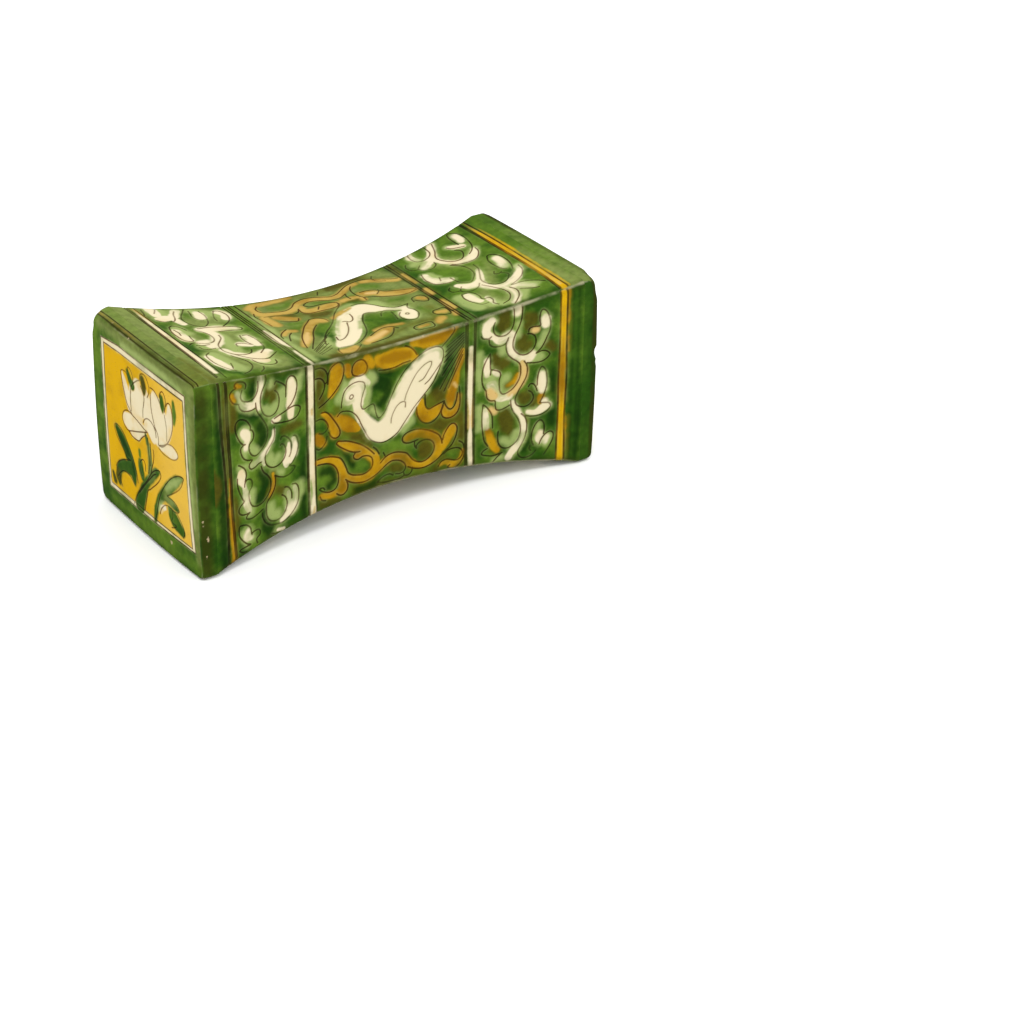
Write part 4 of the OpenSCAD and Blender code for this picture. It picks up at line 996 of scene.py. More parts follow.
# Brown band on the upright sides of the left end: its strength, and how far behind the rim it starts,
# is full, begins to fade and ends
BROWN_BAND = 0.8
BROWN_BAND_RUN = (0, 1.6, 4, 9)

# Glazes on the sides of the end slabs, by the way that the slabs face: the distance from a glaze's edge,
# and what each millimetre adds to it, behind the rim on upright sides and to the front on level ones
UPRIGHT_GLAZES = {
    -1: (("deep_and_shade", 0.6, 0.0),),
    # The right end's deep green, darkest at the rim, is partly painted shade
    1: (("green", -2.0, 0.0), ("deep_and_shade", -0.1, 0.2)),
}
LEVEL_GLAZES = {
    -1: (("sage", 0.0, 0.0), ("moss", 3.0, -0.08)),
    1: (("leaf", 0.0, 0.0), ("sage", 2.0, -0.05)),
}

# Lines incised on the level sides of the left end slab, by their distance from the rim, and half widths
# of the brown and the amber stripe between them. The amber narrows with each millimetre to the front
RIM_LINES = (0.9, 3.7)
RIM_BROWN_W = -0.4
RIM_AMBER_W = 0.6
RIM_AMBER_TAPER = 0.03

# Place of the firing vent in the right end, from its middle: towards the back, and up
VENT_Y = 12
VENT_RISE = -30

# How far past the walls the straw colour of the end panels sets in and is full, and from where
# to where, towards the front, it grows
STRAW_START = 1.0
STRAW_FULL = 5.0
STRAW_BACK = 6.0
STRAW_FRONT = -30.0

# Glazes of the green ground: how far from a stroke each sets in and is full, how far its edge wanders,
# and its strength
GROUND_GLAZES = (
    ("green", 4.0, -2.0, 1.2, 0.8),
    ("leaf", 5.0, -3.0, 1.6, 0.7),
    ("sage", 4.5, -2.5, 1.6, 0.92),
    ("moss", 4.0, -3.0, 1.6, 0.8),
    ("deep_and_shade", 2.4, -1.6, 1.2, 0.85),
    ("olive", 2.4, -1.4, 1.2, 0.85),
)

# Share of the way across a flat grid past which a vertex is on its long side
NEARLY_ONE = 0.9999

# Edges of a slab that turn by more than this many degrees stay sharp
SHARP_TURN = 35


def length(name, description, millimetres):
    return FloatProperty(
        name=name, description=description, default=millimetres * MM, min=0.0, subtype="DISTANCE",
        precision=5)


def colour(name, description, red, green, blue):
    return FloatVectorProperty(
        name=name, description=description, default=(red, green, blue), min=0.0, max=1.0, subtype="COLOR")


class PillowSizes(bpy.types.PropertyGroup):
    """Sizes of the glazed slabs that the plain solids don't fix."""

    edge_r: length("Edge Radius", "Rounding of the long edges at the waist", 1.5)
    corner_r: length("Corner Radius", "Rounding of the long edges where they meet the ends", 4.0)
    rim_r: length("Rim Radius", "Rounding of the rim round each end face", 2.5)
    vent_d: length("Vent Diameter", "Diameter of the firing vent in the right end", 7.0)
    crown: length("Crown", "How far the corners of an end face fall back from its middle", 1.4)
    worn_r: length("Worn Corner Radius", "Rounding of the most worn corners of the ends", 6.6)
    unevenness: length("Unevenness", "How far the hand-made faces swell and dip", 0.22)
    groove_depth: length("Groove Depth", "Depth of the incised lines", 0.3)
    groove_w: length("Groove Half Width", "Half width of the incised lines", 0.34)
    # The lips beside each line carry thin glaze and a painted highlight
    lip_and_highlight_w: length("Lip Half Width", "Half width of the thin glaze on the lips of the incised lines", 1.0)
    grid: length("Grid", "Spacing of the vertices on a glazed face", 0.46)


class GlazeColours(bpy.types.PropertyGroup):
    """Colours of the glazes and of the bare clay."""

    leaf: colour("Leaf Green", "Green ground where the glaze is thin", 0.080, 0.145, 0.012)
    sage: colour("Sage", "Green ground where the glaze is very thin", 0.155, 0.192, 0.048)
    green: colour("Green", "Green ground", 0.017, 0.058, 0.003)
    moss: colour("Moss", "Green run a little into amber", 0.078, 0.082, 0.004)
    # Deep green is pooled glaze, and also painted shade at the right end's rim and lower corner
    deep_and_shade: colour("Deep Green", "Green where the glaze pools", 0.004, 0.021, 0.001)
    olive: colour("Olive", "Green run well into amber", 0.060, 0.050, 0.004)
    pale: colour("Pale Green", "Green thinned over the white slip", 0.26, 0.32, 0.10)
    gold: colour("Gold", "Bright amber glaze, over the end panels and in the bands", 0.52, 0.30, 0.002)
    wash: colour("Wash", "Amber brushed thin", 0.42, 0.275, 0.062)
    straw: colour("Straw", "Thin amber glaze at the front of the end panels", 0.62, 0.40, 0.07)
    amber: colour("Amber", "Amber glaze", 0.37, 0.205, 0.004)
    honey: colour("Honey", "Amber where the glaze pools", 0.22, 0.105, 0.002)
    tan: colour("Tan", "Amber thinned over the white slip", 0.50, 0.34, 0.12)
    cream: colour("Cream", "Clear glaze over the white slip", 0.605, 0.53, 0.35)
    groove: colour("Groove", "Tint of the incised lines on the glaze over them", 0.22, 0.14, 0.10)
    speck: colour("Speck", "Dark specks in the glazes", 0.008, 0.014, 0.002)
    # The worn edge colour also paints the highlight along the rounded edges
    worn_and_highlight: colour("Worn Edge", "Edges where the glaze has rubbed thin", 0.33, 0.305, 0.19)
    stain: colour("Stain", "Brown stain beside the worn edges", 0.023, 0.026, 0.002)
    clay: colour("Clay", "Bare fired clay", 0.40, 0.31, 0.18)


def in_millimetres(sizes):
    """The sizes that a user can change, in the units of the drawings."""
    return SimpleNamespace(**{name: getattr(sizes, name) / MM for name in sizes.__annotations__})


def hollow_at(x):
    """Depth of the hollow in a long side at a distance x from the middle."""
    return np.sqrt(WAIST_RADIUS ** 2 - x ** 2) - WAIST_RADIUS + WAIST_SAG


def smooth_curve(flat_points, width, step=0.7):
    """Samples a smooth curve through points that are given by turns, width numbers a point."""
    knots = np.array(flat_points, float).reshape(-1, width)
    if len(knots) == 1:
        return np.vstack((knots, knots))
    knots = np.vstack((2 * knots[:1] - knots[1:2], knots, 2 * knots[-1:] - knots[-2:-1]))
    gaps = np.sqrt(np.linalg.norm(np.diff(knots[:, :2], axis=0), axis=1)) + TINY
    samples = []
    for i in range(1, len(knots) - 2):
        p0, p1, p2, p3 = knots[i - 1:i + 3]
        a, b, c = gaps[i - 1:i + 2]
        leave = b * ((p1 - p0) / a - (p2 - p0) / (a + b) + (p2 - p1) / b)
        arrive = b * ((p2 - p1) / b - (p3 - p1) / (b + c) + (p3 - p2) / c)
        count = max(2, math.ceil(np.linalg.norm((p2 - p1)[:2]) / step))
        t = np.arange(count)[:, None] / count
        samples.append(
            (2 * t ** 3 - 3 * t ** 2 + 1) * p1 + (t ** 3 - 2 * t ** 2 + t) * leave
            + (3 * t ** 2 - 2 * t ** 3) * p2 + (t ** 3 - t ** 2) * arrive)
    samples.append(knots[-2:-1])
    return np.vstack(samples)


class Face:
    """The drawing on one face: distances in millimetres from each vertex to the lines and the glazes."""

    def __init__(self, along, across):
        self.along = along
        self.across = across
        self.line = np.full(along.shape, FAR)
        self.glaze = {name: np.full(along.shape, FAR) for name in GLAZES}

    def near(self, curve, margin):
        """Indices of the vertices close enough to a curve to be touched by it."""
        low = curve[:, :2].min(0) - margin
        high = curve[:, :2].max(0) + margin
        inside = (self.along > low[0]) & (self.along < high[0])
        inside &= (self.across > low[1]) & (self.across < high[1])
        return np.nonzero(inside)[0]

    def distance(self, index, curve):
        """Distance to a curve, less its half width where the curve gives one."""
        spots = np.stack((self.along[index], self.across[index]), 1)
        nearest = np.full(len(index), FAR)
        for start, end in zip(curve[:-1], curve[1:]):
            run = end[:2] - start[:2]
            t = np.clip((spots - start[:2]) @ run / max(run @ run, TINY), 0, 1)
            gap = np.linalg.norm(spots - start[:2] - t[:, None] * run, axis=1)
            if len(start) > 2:
                gap = gap - (start[2] + t * (end[2] - start[2]))
            nearest = np.minimum(nearest, gap)
        return nearest

    def incise(self, lines, wider=0.0):
        """Incises lines, each of them wider to both sides by so much."""
        for points in lines:
            curve = smooth_curve(points, 2)
            index = self.near(curve, LINE_REACH)
            gap = np.maximum(self.distance(index, curve) - wider, 0)
            self.line[index] = np.minimum(self.line[index], gap)

    def lay(self, name, index, gap):
        """Lays a glaze, which takes away the glazes that would cover it."""
        self.glaze[name][index] = np.minimum(self.glaze[name][index], gap)
        for other in GLAZES[GLAZES.index(name) + 1:]:
            self.glaze[other][index] = np.maximum(self.glaze[other][index], -gap)

    def paint(self, strokes, wider=0.0):
        """Lays strokes of glaze, each of them wider to both sides by so much."""
        for name, points in strokes:
            curve = smooth_curve(points, 3)
            index = self.near(curve, STROKE_REACH + curve[:, 2].max())
            self.lay(name, index, self.distance(index, curve) - wider)

    def fill(self, name, corners):
        """Lays a glaze inside a polygon that is convex and runs clockwise."""
        gap = np.full(len(self.along), -FAR)
        for (u0, v0), (u1, v1) in zip(corners, corners[1:] + corners[:1]):
            side = (v1 - v0) * (u0 - self.along) + (u1 - u0) * (self.across - v0)
            gap = np.maximum(gap, side / math.hypot(u1 - u0, v1 - v0))
        self.lay(name, np.arange(len(gap)), gap)


def draw_front(face):
    """A goose between reeds and scrolling vines, with a panel of scrolls on each side."""
    face.paint(FRONT_WASH + FRONT_BAND_PAINT)
    face.paint(FRONT_VINE_PAINT, wider=0.6)
    face.paint(GOOSE_PAINT + FRONT_LEFT_PAINT)
    face.paint(FRONT_RIGHT_PAINT, wider=0.4)
    face.incise(FRONT_BAND_LINES, wider=0.14)
    face.incise(FRONT_LEFT_LINES + FRONT_RIGHT_LINES + FRONT_VINE_LINES, wider=0.06)
    face.incise(GOOSE_LINES + REED_LINES)


def draw_top(face):
    """A water bird that looks back, among vines, with a panel of scrolls on each side."""
    face.paint(TOP_WASH + TOP_BAND_PAINT)
    face.paint(TOP_VINE_PAINT, wider=0.6)
    face.paint(BIRD_PAINT, wider=0.4)
    face.paint(TOP_LEFT_PAINT, wider=1.5)
    face.paint(TOP_RIGHT_PAINT, wider=0.75)
    face.incise(TOP_BAND_LINES, wider=0.1)
    face.incise(TOP_VINE_LINES + BIRD_LINES + TOP_LEFT_LINES + TOP_RIGHT_LINES, wider=0.04)
    face.incise(TOP_REED_LINES, wider=-0.1)


def draw_end(face):
    """A lotus and its leaves in a cream frame."""
    face.paint(END_BORDER_PAINT)
    face.fill("slip", FRAME_OUTER)
    face.fill("gold", FRAME_INNER)
    face.paint(LOTUS_PAINT)
    face.incise(LOTUS_LINES)
    for corners in (FRAME_OUTER, FRAME_INNER):
        face.incise(start + end for start, end in zip(corners, corners[1:] + corners[:1]))


def draw_rim(face, points, behind, side):
    """Colours the sides of an end slab behind its rim. The left one has a stripe between two lines."""
    sides = behind > 0
    face.line[sides] = FAR
    for gap in face.glaze.values():
        gap[sides] = FAR
    level = sides & (np.abs(points[:, 2]) > np.abs(points[:, 1]))
    upright = sides & ~level
    front = -side * points[:, 1]
    for part, run, glazes in (
            (upright, behind, UPRIGHT_GLAZES[side]),
            (level, front, LEVEL_GLAZES[side])):
        for name, gap, added in glazes:
            face.glaze[name][part] = gap + added * run[part]
    if side < 0:
        between = np.abs(behind[level] - np.mean(RIM_LINES))
        face.glaze["olive"][level] = between - RIM_BROWN_W
        face.glaze["wash"][level] = between - RIM_AMBER_W + RIM_AMBER_TAPER * (front[level] + HALF)
        for distance in RIM_LINES:
            face.line[level] = np.minimum(face.line[level], np.abs(behind[level] - distance))


def swell(points, amount):
    """Slow, smooth unevenness of a hand-made face, the same wherever two slabs meet."""
    x, y, z = (points / SWELL_SCALE).T
    # Three waves cross at odd angles, so that nothing repeats
    waves = np.sin(x + 1.7 * np.sin(0.6 * y + 0.4)) + np.sin(1.3 * y - 0.8 * z + 1.1)
    return amount * (waves + np.sin(1.1 * z + 0.9 * x + 2.3)) / 3


def gap_to(spots, points):
    """Distance from each vertex to the nearest of some round spots, negative inside them."""
    gap = np.full(len(points), FAR)
    for x, y, z, radius in spots:
        gap = np.minimum(gap, np.linalg.norm(points - (x, y, z), axis=1) - radius)
    return gap


def worked(points, normal, line, chip, sizes):
    """Sinks the incised lines, the chips and the dents into a face, and lets it swell."""
    groove = sizes.groove_depth * np.exp(-(line / sizes.groove_w) ** 2)
    dent = DENT_DEPTH * np.maximum(-np.minimum(chip, gap_to(DENTS, points)), 0)
    return points + normal * (swell(points, sizes.unevenness) - groove - dent)[:, None]


def fade(value, start, end):
    """Smooth step from 0 at start to 1 at end."""
    t = np.clip((value - start) / (end - start), 0, 1)
    return t * t * (3 - 2 * t)


def wall_points(across_share, x, sizes):
    """Points, outward directions, distances from the nearer long edge and stain on the top wall."""
    hollow = hollow_at(x)
    half = HALF - hollow
    radius = sizes.corner_r - (sizes.corner_r - sizes.edge_r) * hollow / WAIST_SAG
    flat = half - radius
    reach = flat + radius * math.pi / 4
    run = np.abs(across_share) * reach
    turn = np.clip((run - flat) / radius, 0, math.pi / 4)
    side = np.sign(across_share)
    y = side * (np.minimum(run, flat) + radius * np.sin(turn))
    z = half - radius * (1 - np.cos(turn))
    slope = x / np.sqrt(WAIST_RADIUS ** 2 - x ** 2)
    normal = np.stack((-slope, side * np.sin(turn), np.cos(turn)), 1)
    normal /= np.linalg.norm(normal, axis=1)[:, None]
    edge = reach - run
    stain = EDGE_STAIN * fade(edge, EDGE_STAIN_START, EDGE_STAIN_FULL)
    # Less wear and painted highlight on the long edges towards the left end
    edge = edge + EDGE_SPARED * fade(x, SPARED_FROM, SPARED_TO)
    return np.stack((x, y, z), 1), normal, edge, stain


def worn_round(points, radius):
    """Rounds the corners of an end, one of the upper ones further than the rest."""
    most_worn = (points[:, 2] > 0) & (points[:, 1] < 0)
    radius = np.where(most_worn, radius, LESS_WORN * radius)
    depth = (LENGTH / 2, HALF, HALF) - np.abs(points)
    over = np.maximum(radius[:, None] - depth, 0)
    size = np.maximum(np.linalg.norm(over, axis=1), TINY)
    to_walls = fade(depth[:, 0], END_T, WORN_FULL * END_T)
    along_edges = fade(depth[:, 1:].max(1), WORN_REACH * radius, WORN_NEAR * radius)
    moved = to_walls * along_edges * (1 - np.minimum(radius / size, 1))
    return points - np.sign(points) * over * moved[:, None]


def end_points(folded, sizes):
    """Points, outward directions, and distances behind the rim and from the seams, of the right end."""
    u, v = folded.T
    larger = np.maximum(np.abs(u), np.abs(v))
    ring = np.maximum(larger, TINY)
    flat = HALF - sizes.rim_r
    turn = np.clip((ring - flat) / sizes.rim_r, 0, math.pi / 2)
    past = np.maximum(ring - flat - sizes.rim_r * math.pi / 2, 0)
    reach = np.minimum(ring, flat) + sizes.rim_r * np.sin(turn)
    a = u * reach / ring
    b = v * reach / ring

    # The corners of each square ring are drawn in to quarter circles
    core = reach - np.maximum(sizes.corner_r - (HALF - reach), 0)
    over_a = np.maximum(np.abs(a) - core, 0)
    over_b = np.maximum(np.abs(b) - core, 0)
    radius = np.maximum(np.maximum(over_a, over_b), TINY)
    angle = math.pi / 4 * np.minimum(over_a, over_b) / radius
    long = radius * np.cos(angle)
    short = radius * np.sin(angle)
    round_a = np.sign(a) * np.where(over_a >= over_b, long, short)
    round_b = np.sign(b) * np.where(over_a >= over_b, short, long)
    corner = (over_a > 0) & (over_b > 0)
    y = np.where(corner, np.sign(a) * core + round_a, a)
    z = np.where(corner, np.sign(b) * core + round_b, b)

    wide = np.abs(u) >= np.abs(v)
    out_y = np.where(corner, round_a / radius, np.where(wide, np.sign(u), 0))
    out_z = np.where(corner, round_b / radius, np.where(wide, 0, np.sign(v)))
    normal = np.stack((np.cos(turn), out_y * np.sin(turn), out_z * np.sin(turn)), 1)
    fall = sizes.crown * (y * z / HALF ** 2) ** 2
    x = LENGTH / 2 - sizes.rim_r * (1 - np.cos(turn)) - past - fall * np.cos(turn)
    behind = ring - flat - sizes.rim_r * math.pi / 4
    seam = np.where(behind > 0, larger - np.minimum(np.abs(u), np.abs(v)), FAR)
    return worn_round(np.stack((x, y, z), 1), sizes.worn_r), normal, behind, seam


def end_wear_and_highlight(points, behind, seam, side):
    """Distances from the edges of an end slab, where wear and a painted highlight go, and the stain beside
    them.
    """
    edge = np.minimum(np.abs(behind) + RIM_SPARED[side], seam + SEAM_SPARED)
    strength = np.where(behind > 0, STAIN_BEHIND, STAIN_ON_FACE)
    stain = strength * fade(np.abs(behind), STAIN_START, STAIN_FULL[side])
    if side < 0:
        upright = (behind > 0) & (np.abs(points[:, 1]) > np.abs(points[:, 2]))
        start, full, thinning, end = BROWN_BAND_RUN
        run = behind[upright]
        stain[upright] = BROWN_BAND * fade(run, end, thinning) * fade(run, start, full)
    return edge, stain


def face_grid(columns, rows):
    """A flat grid from -1 to 1 both ways, and its vertices' places."""
    mesh_edit = bmesh.new()
    bmesh.ops.create_grid(mesh_edit, x_segments=columns, y_segments=rows, size=1.0)
    number = mesh_edit.verts.layers.int.new("number")
    shares = np.empty((len(mesh_edit.verts), 2))
    for index, vert in enumerate(mesh_edit.verts):
        vert[number] = index + 1
        shares[index] = vert.co[:2]
    return mesh_edit, shares


def place_verts(mesh_edit, points):
    for vert, point in zip(mesh_edit.verts, points * MM):
        vert.co = point


def drawn_out(mesh_edit, edges):
    """Extrudes edges into bare clay: the new vertices, and the edges between them."""
    number = mesh_edit.verts.layers.int["number"]
    made = bmesh.ops.extrude_edge_only(mesh_edit, edges=edges)["geom"]
    verts = {item for item in made if isinstance(item, bmesh.types.BMVert)}
    for vert in verts:
        vert[number] = 0
    return verts, [item for item in made
                   if isinstance(item, bmesh.types.BMEdge) and verts.issuperset(item.verts)]


def turn_to_side(points, quarter_turns):
    """Turns points about the length, from the top to another side."""
    for _ in range(quarter_turns):
        points = np.stack((points[:, 0], -points[:, 2], points[:, 1]), 1)
    return points


def finish_piece(name, mesh_edit, bare, values, materials):
    """Makes the piece that stands for a slab from its closed mesh and the values at its drawn vertices."""
    number = mesh_edit.verts.layers.int["number"]
    for item in mesh_edit.faces:
        item.smooth = True
        item.material_index = int(any(vert[number] == 0 for vert in item.verts))
    for item in bare:
        item.material_index = 1
    bmesh.ops.recalc_face_normals(mesh_edit, faces=mesh_edit.faces)
    mesh = bpy.data.meshes.new(name + "_glazed")
    mesh_edit.to_mesh(mesh)
    mesh_edit.free()

    numbers = np.empty(len(mesh.vertices), np.int32)
    mesh.attributes["number"].data.foreach_get("value", numbers)
    mesh.attributes.remove(mesh.attributes["number"])
    for key, value in values.items():
        padded = np.append(value, value.max())
        mesh.attributes.new(key, "FLOAT", "POINT").data.foreach_set("value", padded[numbers - 1])
    for material in materials:
        mesh.materials.append(material)
    mesh.set_sharp_from_angle(angle=math.radians(SHARP_TURN))

    piece = bpy.data.objects.new(name + "_glazed", mesh)
    bpy.context.scene.collection.objects.link(piece)
    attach(piece, "root")
    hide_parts(name)


def surface_values(face, edge, stain, chip, sizes):
    """What the glaze shader reads at each vertex."""
    values = {
        "line": np.exp(-(face.line / sizes.groove_w) ** 2),
        # Thin glaze and a painted highlight on the lips of the lines
        "lip_glaze_and_highlight": np.exp(-(face.line / sizes.lip_and_highlight_w) ** 2),
        "edge": edge,
        "stain": stain,
        "chip": chip,
    }
    return values | face.glaze


# The drawing on each wall slab, and which way it runs along the slab and across it
DRAWINGS = {
    "top_slab": (draw_top, 1, 1),
    "front_slab": (draw_front, 1, 1),
    "bottom_slab": (draw_top, -1, 1),
    "back_slab": (draw_front, 1, -1),
}


def build_wall(name, quarter_turns, sizes, materials):
    """One hollowed wall slab: its drawn outer face, its mitred sides, its ends and its inner face."""
    mesh_edit, shares = face_grid(round(WALL_LENGTH / sizes.grid), round(2 * HALF / sizes.grid))
    x = shares[:, 0] * WALL_LENGTH / 2
    points, normal, edge, stain = wall_points(shares[:, 1], x, sizes)
    draw, along, across = DRAWINGS[name]
    face = Face(along * x + DRAWN_LEFT, across * points[:, 1])
    draw(face)

    # The long sides of the grid are found while it is still flat
    sides = [[item for item in mesh_edit.edges
              if all(vert.co.y * side > NEARLY_ONE for vert in item.verts)] for side in (-1, 1)]
    points = turn_to_side(points, quarter_turns)
    normal = turn_to_side(normal, quarter_turns)
    chip = gap_to(CHIPS, points)
    place_verts(mesh_edit, worked(points, normal, face.line, chip, sizes) + (0, 0, HALF))

    inner = []
    for side, edges in zip((-1, 1), sides):
        verts, made = drawn_out(mesh_edit, edges)
        for vert in verts:
            depth = INNER_HALF - hollow_at(vert.co.x / MM)
            corner = turn_to_side(np.array([[vert.co.x / MM, side * depth, depth]]), quarter_turns)[0]
            vert.co = (corner + (0, 0, HALF)) * MM
        inner += made
    bmesh.ops.bridge_loops(mesh_edit, edges=inner)
    bmesh.ops.holes_fill(mesh_edit, edges=[item for item in mesh_edit.edges if item.is_boundary], sides=0)
    values = surface_values(face, edge, stain, chip, sizes)
    finish_piece(name, mesh_edit, [], values, materials)


def open_vent(mesh_edit, rim, sizes):
    """Opens the firing vent through an end slab, from its outer face to its inner face."""
    radius = sizes.vent_d / 2
    middle = np.array((VENT_Y, HALF + VENT_RISE))

    def offset(point):
        return np.array(point[1:]) / MM - middle

    inside = [item for item in mesh_edit.faces
              if np.linalg.norm(offset(item.calc_center_median())) < radius]
    bmesh.ops.delete(mesh_edit, geom=inside, context="FACES")
    hole = [item for item in mesh_edit.edges if item.is_boundary and item not in rim]
    for vert in {vert for item in hole for vert in item.verts}:
        out = offset(vert.co)
        vert.co.yz = (middle + out * radius / np.linalg.norm(out)) * MM
    verts, inner = drawn_out(mesh_edit, hole)
    for vert in verts:
        vert.co.x = WALL_LENGTH / 2 * MM
    return inner


def build_end(name, side, sizes, materials):
    """One end slab: its drawn face folded over the rim, its inner face, and the vent in the right one."""
    reach = HALF - sizes.rim_r + sizes.rim_r * math.pi / 2 + END_T - sizes.rim_r
    count = round(2 * reach / sizes.grid)
    mesh_edit, shares = face_grid(count, count)
    points, normal, behind, seam = end_points(shares * reach, sizes)
    edge, stain = end_wear_and_highlight(points, behind, seam, side)
    face = Face(points[:, 1] - LOTUS_MIDDLE[0], points[:, 2] - LOTUS_MIDDLE[1])
    draw_end(face)
    draw_rim(face, points, behind, side)

    rim = {item for item in mesh_edit.edges if item.is_boundary}
    turned = np.array((side, side, 1))
    points = points * turned
    chip = gap_to(CHIPS, points)
    place_verts(mesh_edit, worked(points, normal * turned, face.line, chip, sizes) + (0, 0, HALF))
    if name == "right_end_slab":
        inner = open_vent(mesh_edit, rim, sizes)
        bare = bmesh.ops.bridge_loops(mesh_edit, edges=list(rim) + inner)["faces"]
    else:
        bare = bmesh.ops.contextual_create(mesh_edit, geom=list(rim))["faces"]
    values = surface_values(face, edge, stain, chip, sizes)
    finish_piece(name, mesh_edit, bare, values, materials)


class Shader:
    """Short calls for the nodes of one material."""

    def __init__(self, name):
        self.material = bpy.data.materials.new(name)
        self.material.use_nodes = True
        self.tree = self.material.node_tree
        self.surface = self.tree.nodes["Principled BSDF"]
        self.object_place = self.node("ShaderNodeTexCoord").outputs["Object"]

    def node(self, kind, inputs=(), **settings):
        made = self.tree.nodes.new(kind)
        for key, value in settings.items():
            setattr(made, key, value)
        for key, value in dict(inputs).items():
            self.feed(made.inputs[key], value)
        return made

    def feed(self, socket, value):
        if isinstance(value, bpy.types.NodeSocket):
            self.tree.links.new(value, socket)
        elif isinstance(value, (int, float)):
            socket.default_value = value
        else:
            socket.default_value = (*value, 1.0)

    def attribute(self, name):
        return self.node("ShaderNodeAttribute", attribute_name=name).outputs["Fac"]

    def noise(self, scale, detail):
        made = self.node("ShaderNodeTexNoise", {
            "Vector": self.object_place, "Scale": scale, "Detail": detail, "Roughness": 0.55})
        return made.outputs["Fac"]

    def along(self, axis):
        return self.node("ShaderNodeSeparateXYZ", {"Vector": self.object_place}).outputs[axis]

    def math(self, operation, a, b=0.0):
        return self.node("ShaderNodeMath", {0: a, 1: b}, operation=operation).outputs[0]

    def ramp(self, value, start, end, low=0.0, high=1.0):
        """Smooth step from low at start to high at end."""
        return self.node("ShaderNodeMapRange", {
            "Value": value, "From Min": start, "From Max": end, "To Min": low, "To Max": high},
            interpolation_type="SMOOTHSTEP").outputs[0]

    def times(self, a, b):
        return self.math("MULTIPLY", a, b)

    def patches(self, scale, detail, start, end, low=0.0, high=1.0):
        """Cloudy patches: low where the noise is under start, and high where it is over end."""
        return self.ramp(self.noise(scale, detail), start, end, low, high)

    def spread(self, value, amount):
        """Turns noise into a shift by up to half an amount either way."""
        return self.times(self.math("SUBTRACT", value, 0.5), amount)

    def mix(self, share, a, b, blend="MIX"):
        """Mixes two colours, which go into sockets 6 and 7 of the node and come out of socket 2."""
        made = self.node("ShaderNodeMix", data_type="RGBA", blend_type=blend)
        self.feed(made.inputs[0], share)
        self.feed(made.inputs[6], a)
        self.feed(made.inputs[7], b)
        return made.outputs[2]

    def bump(self, height, strength, distance):
        made = self.node("ShaderNodeBump", {"Height": height, "Strength": strength, "Distance": distance})
        self.feed(self.surface.inputs["Normal"], made.outputs[0])


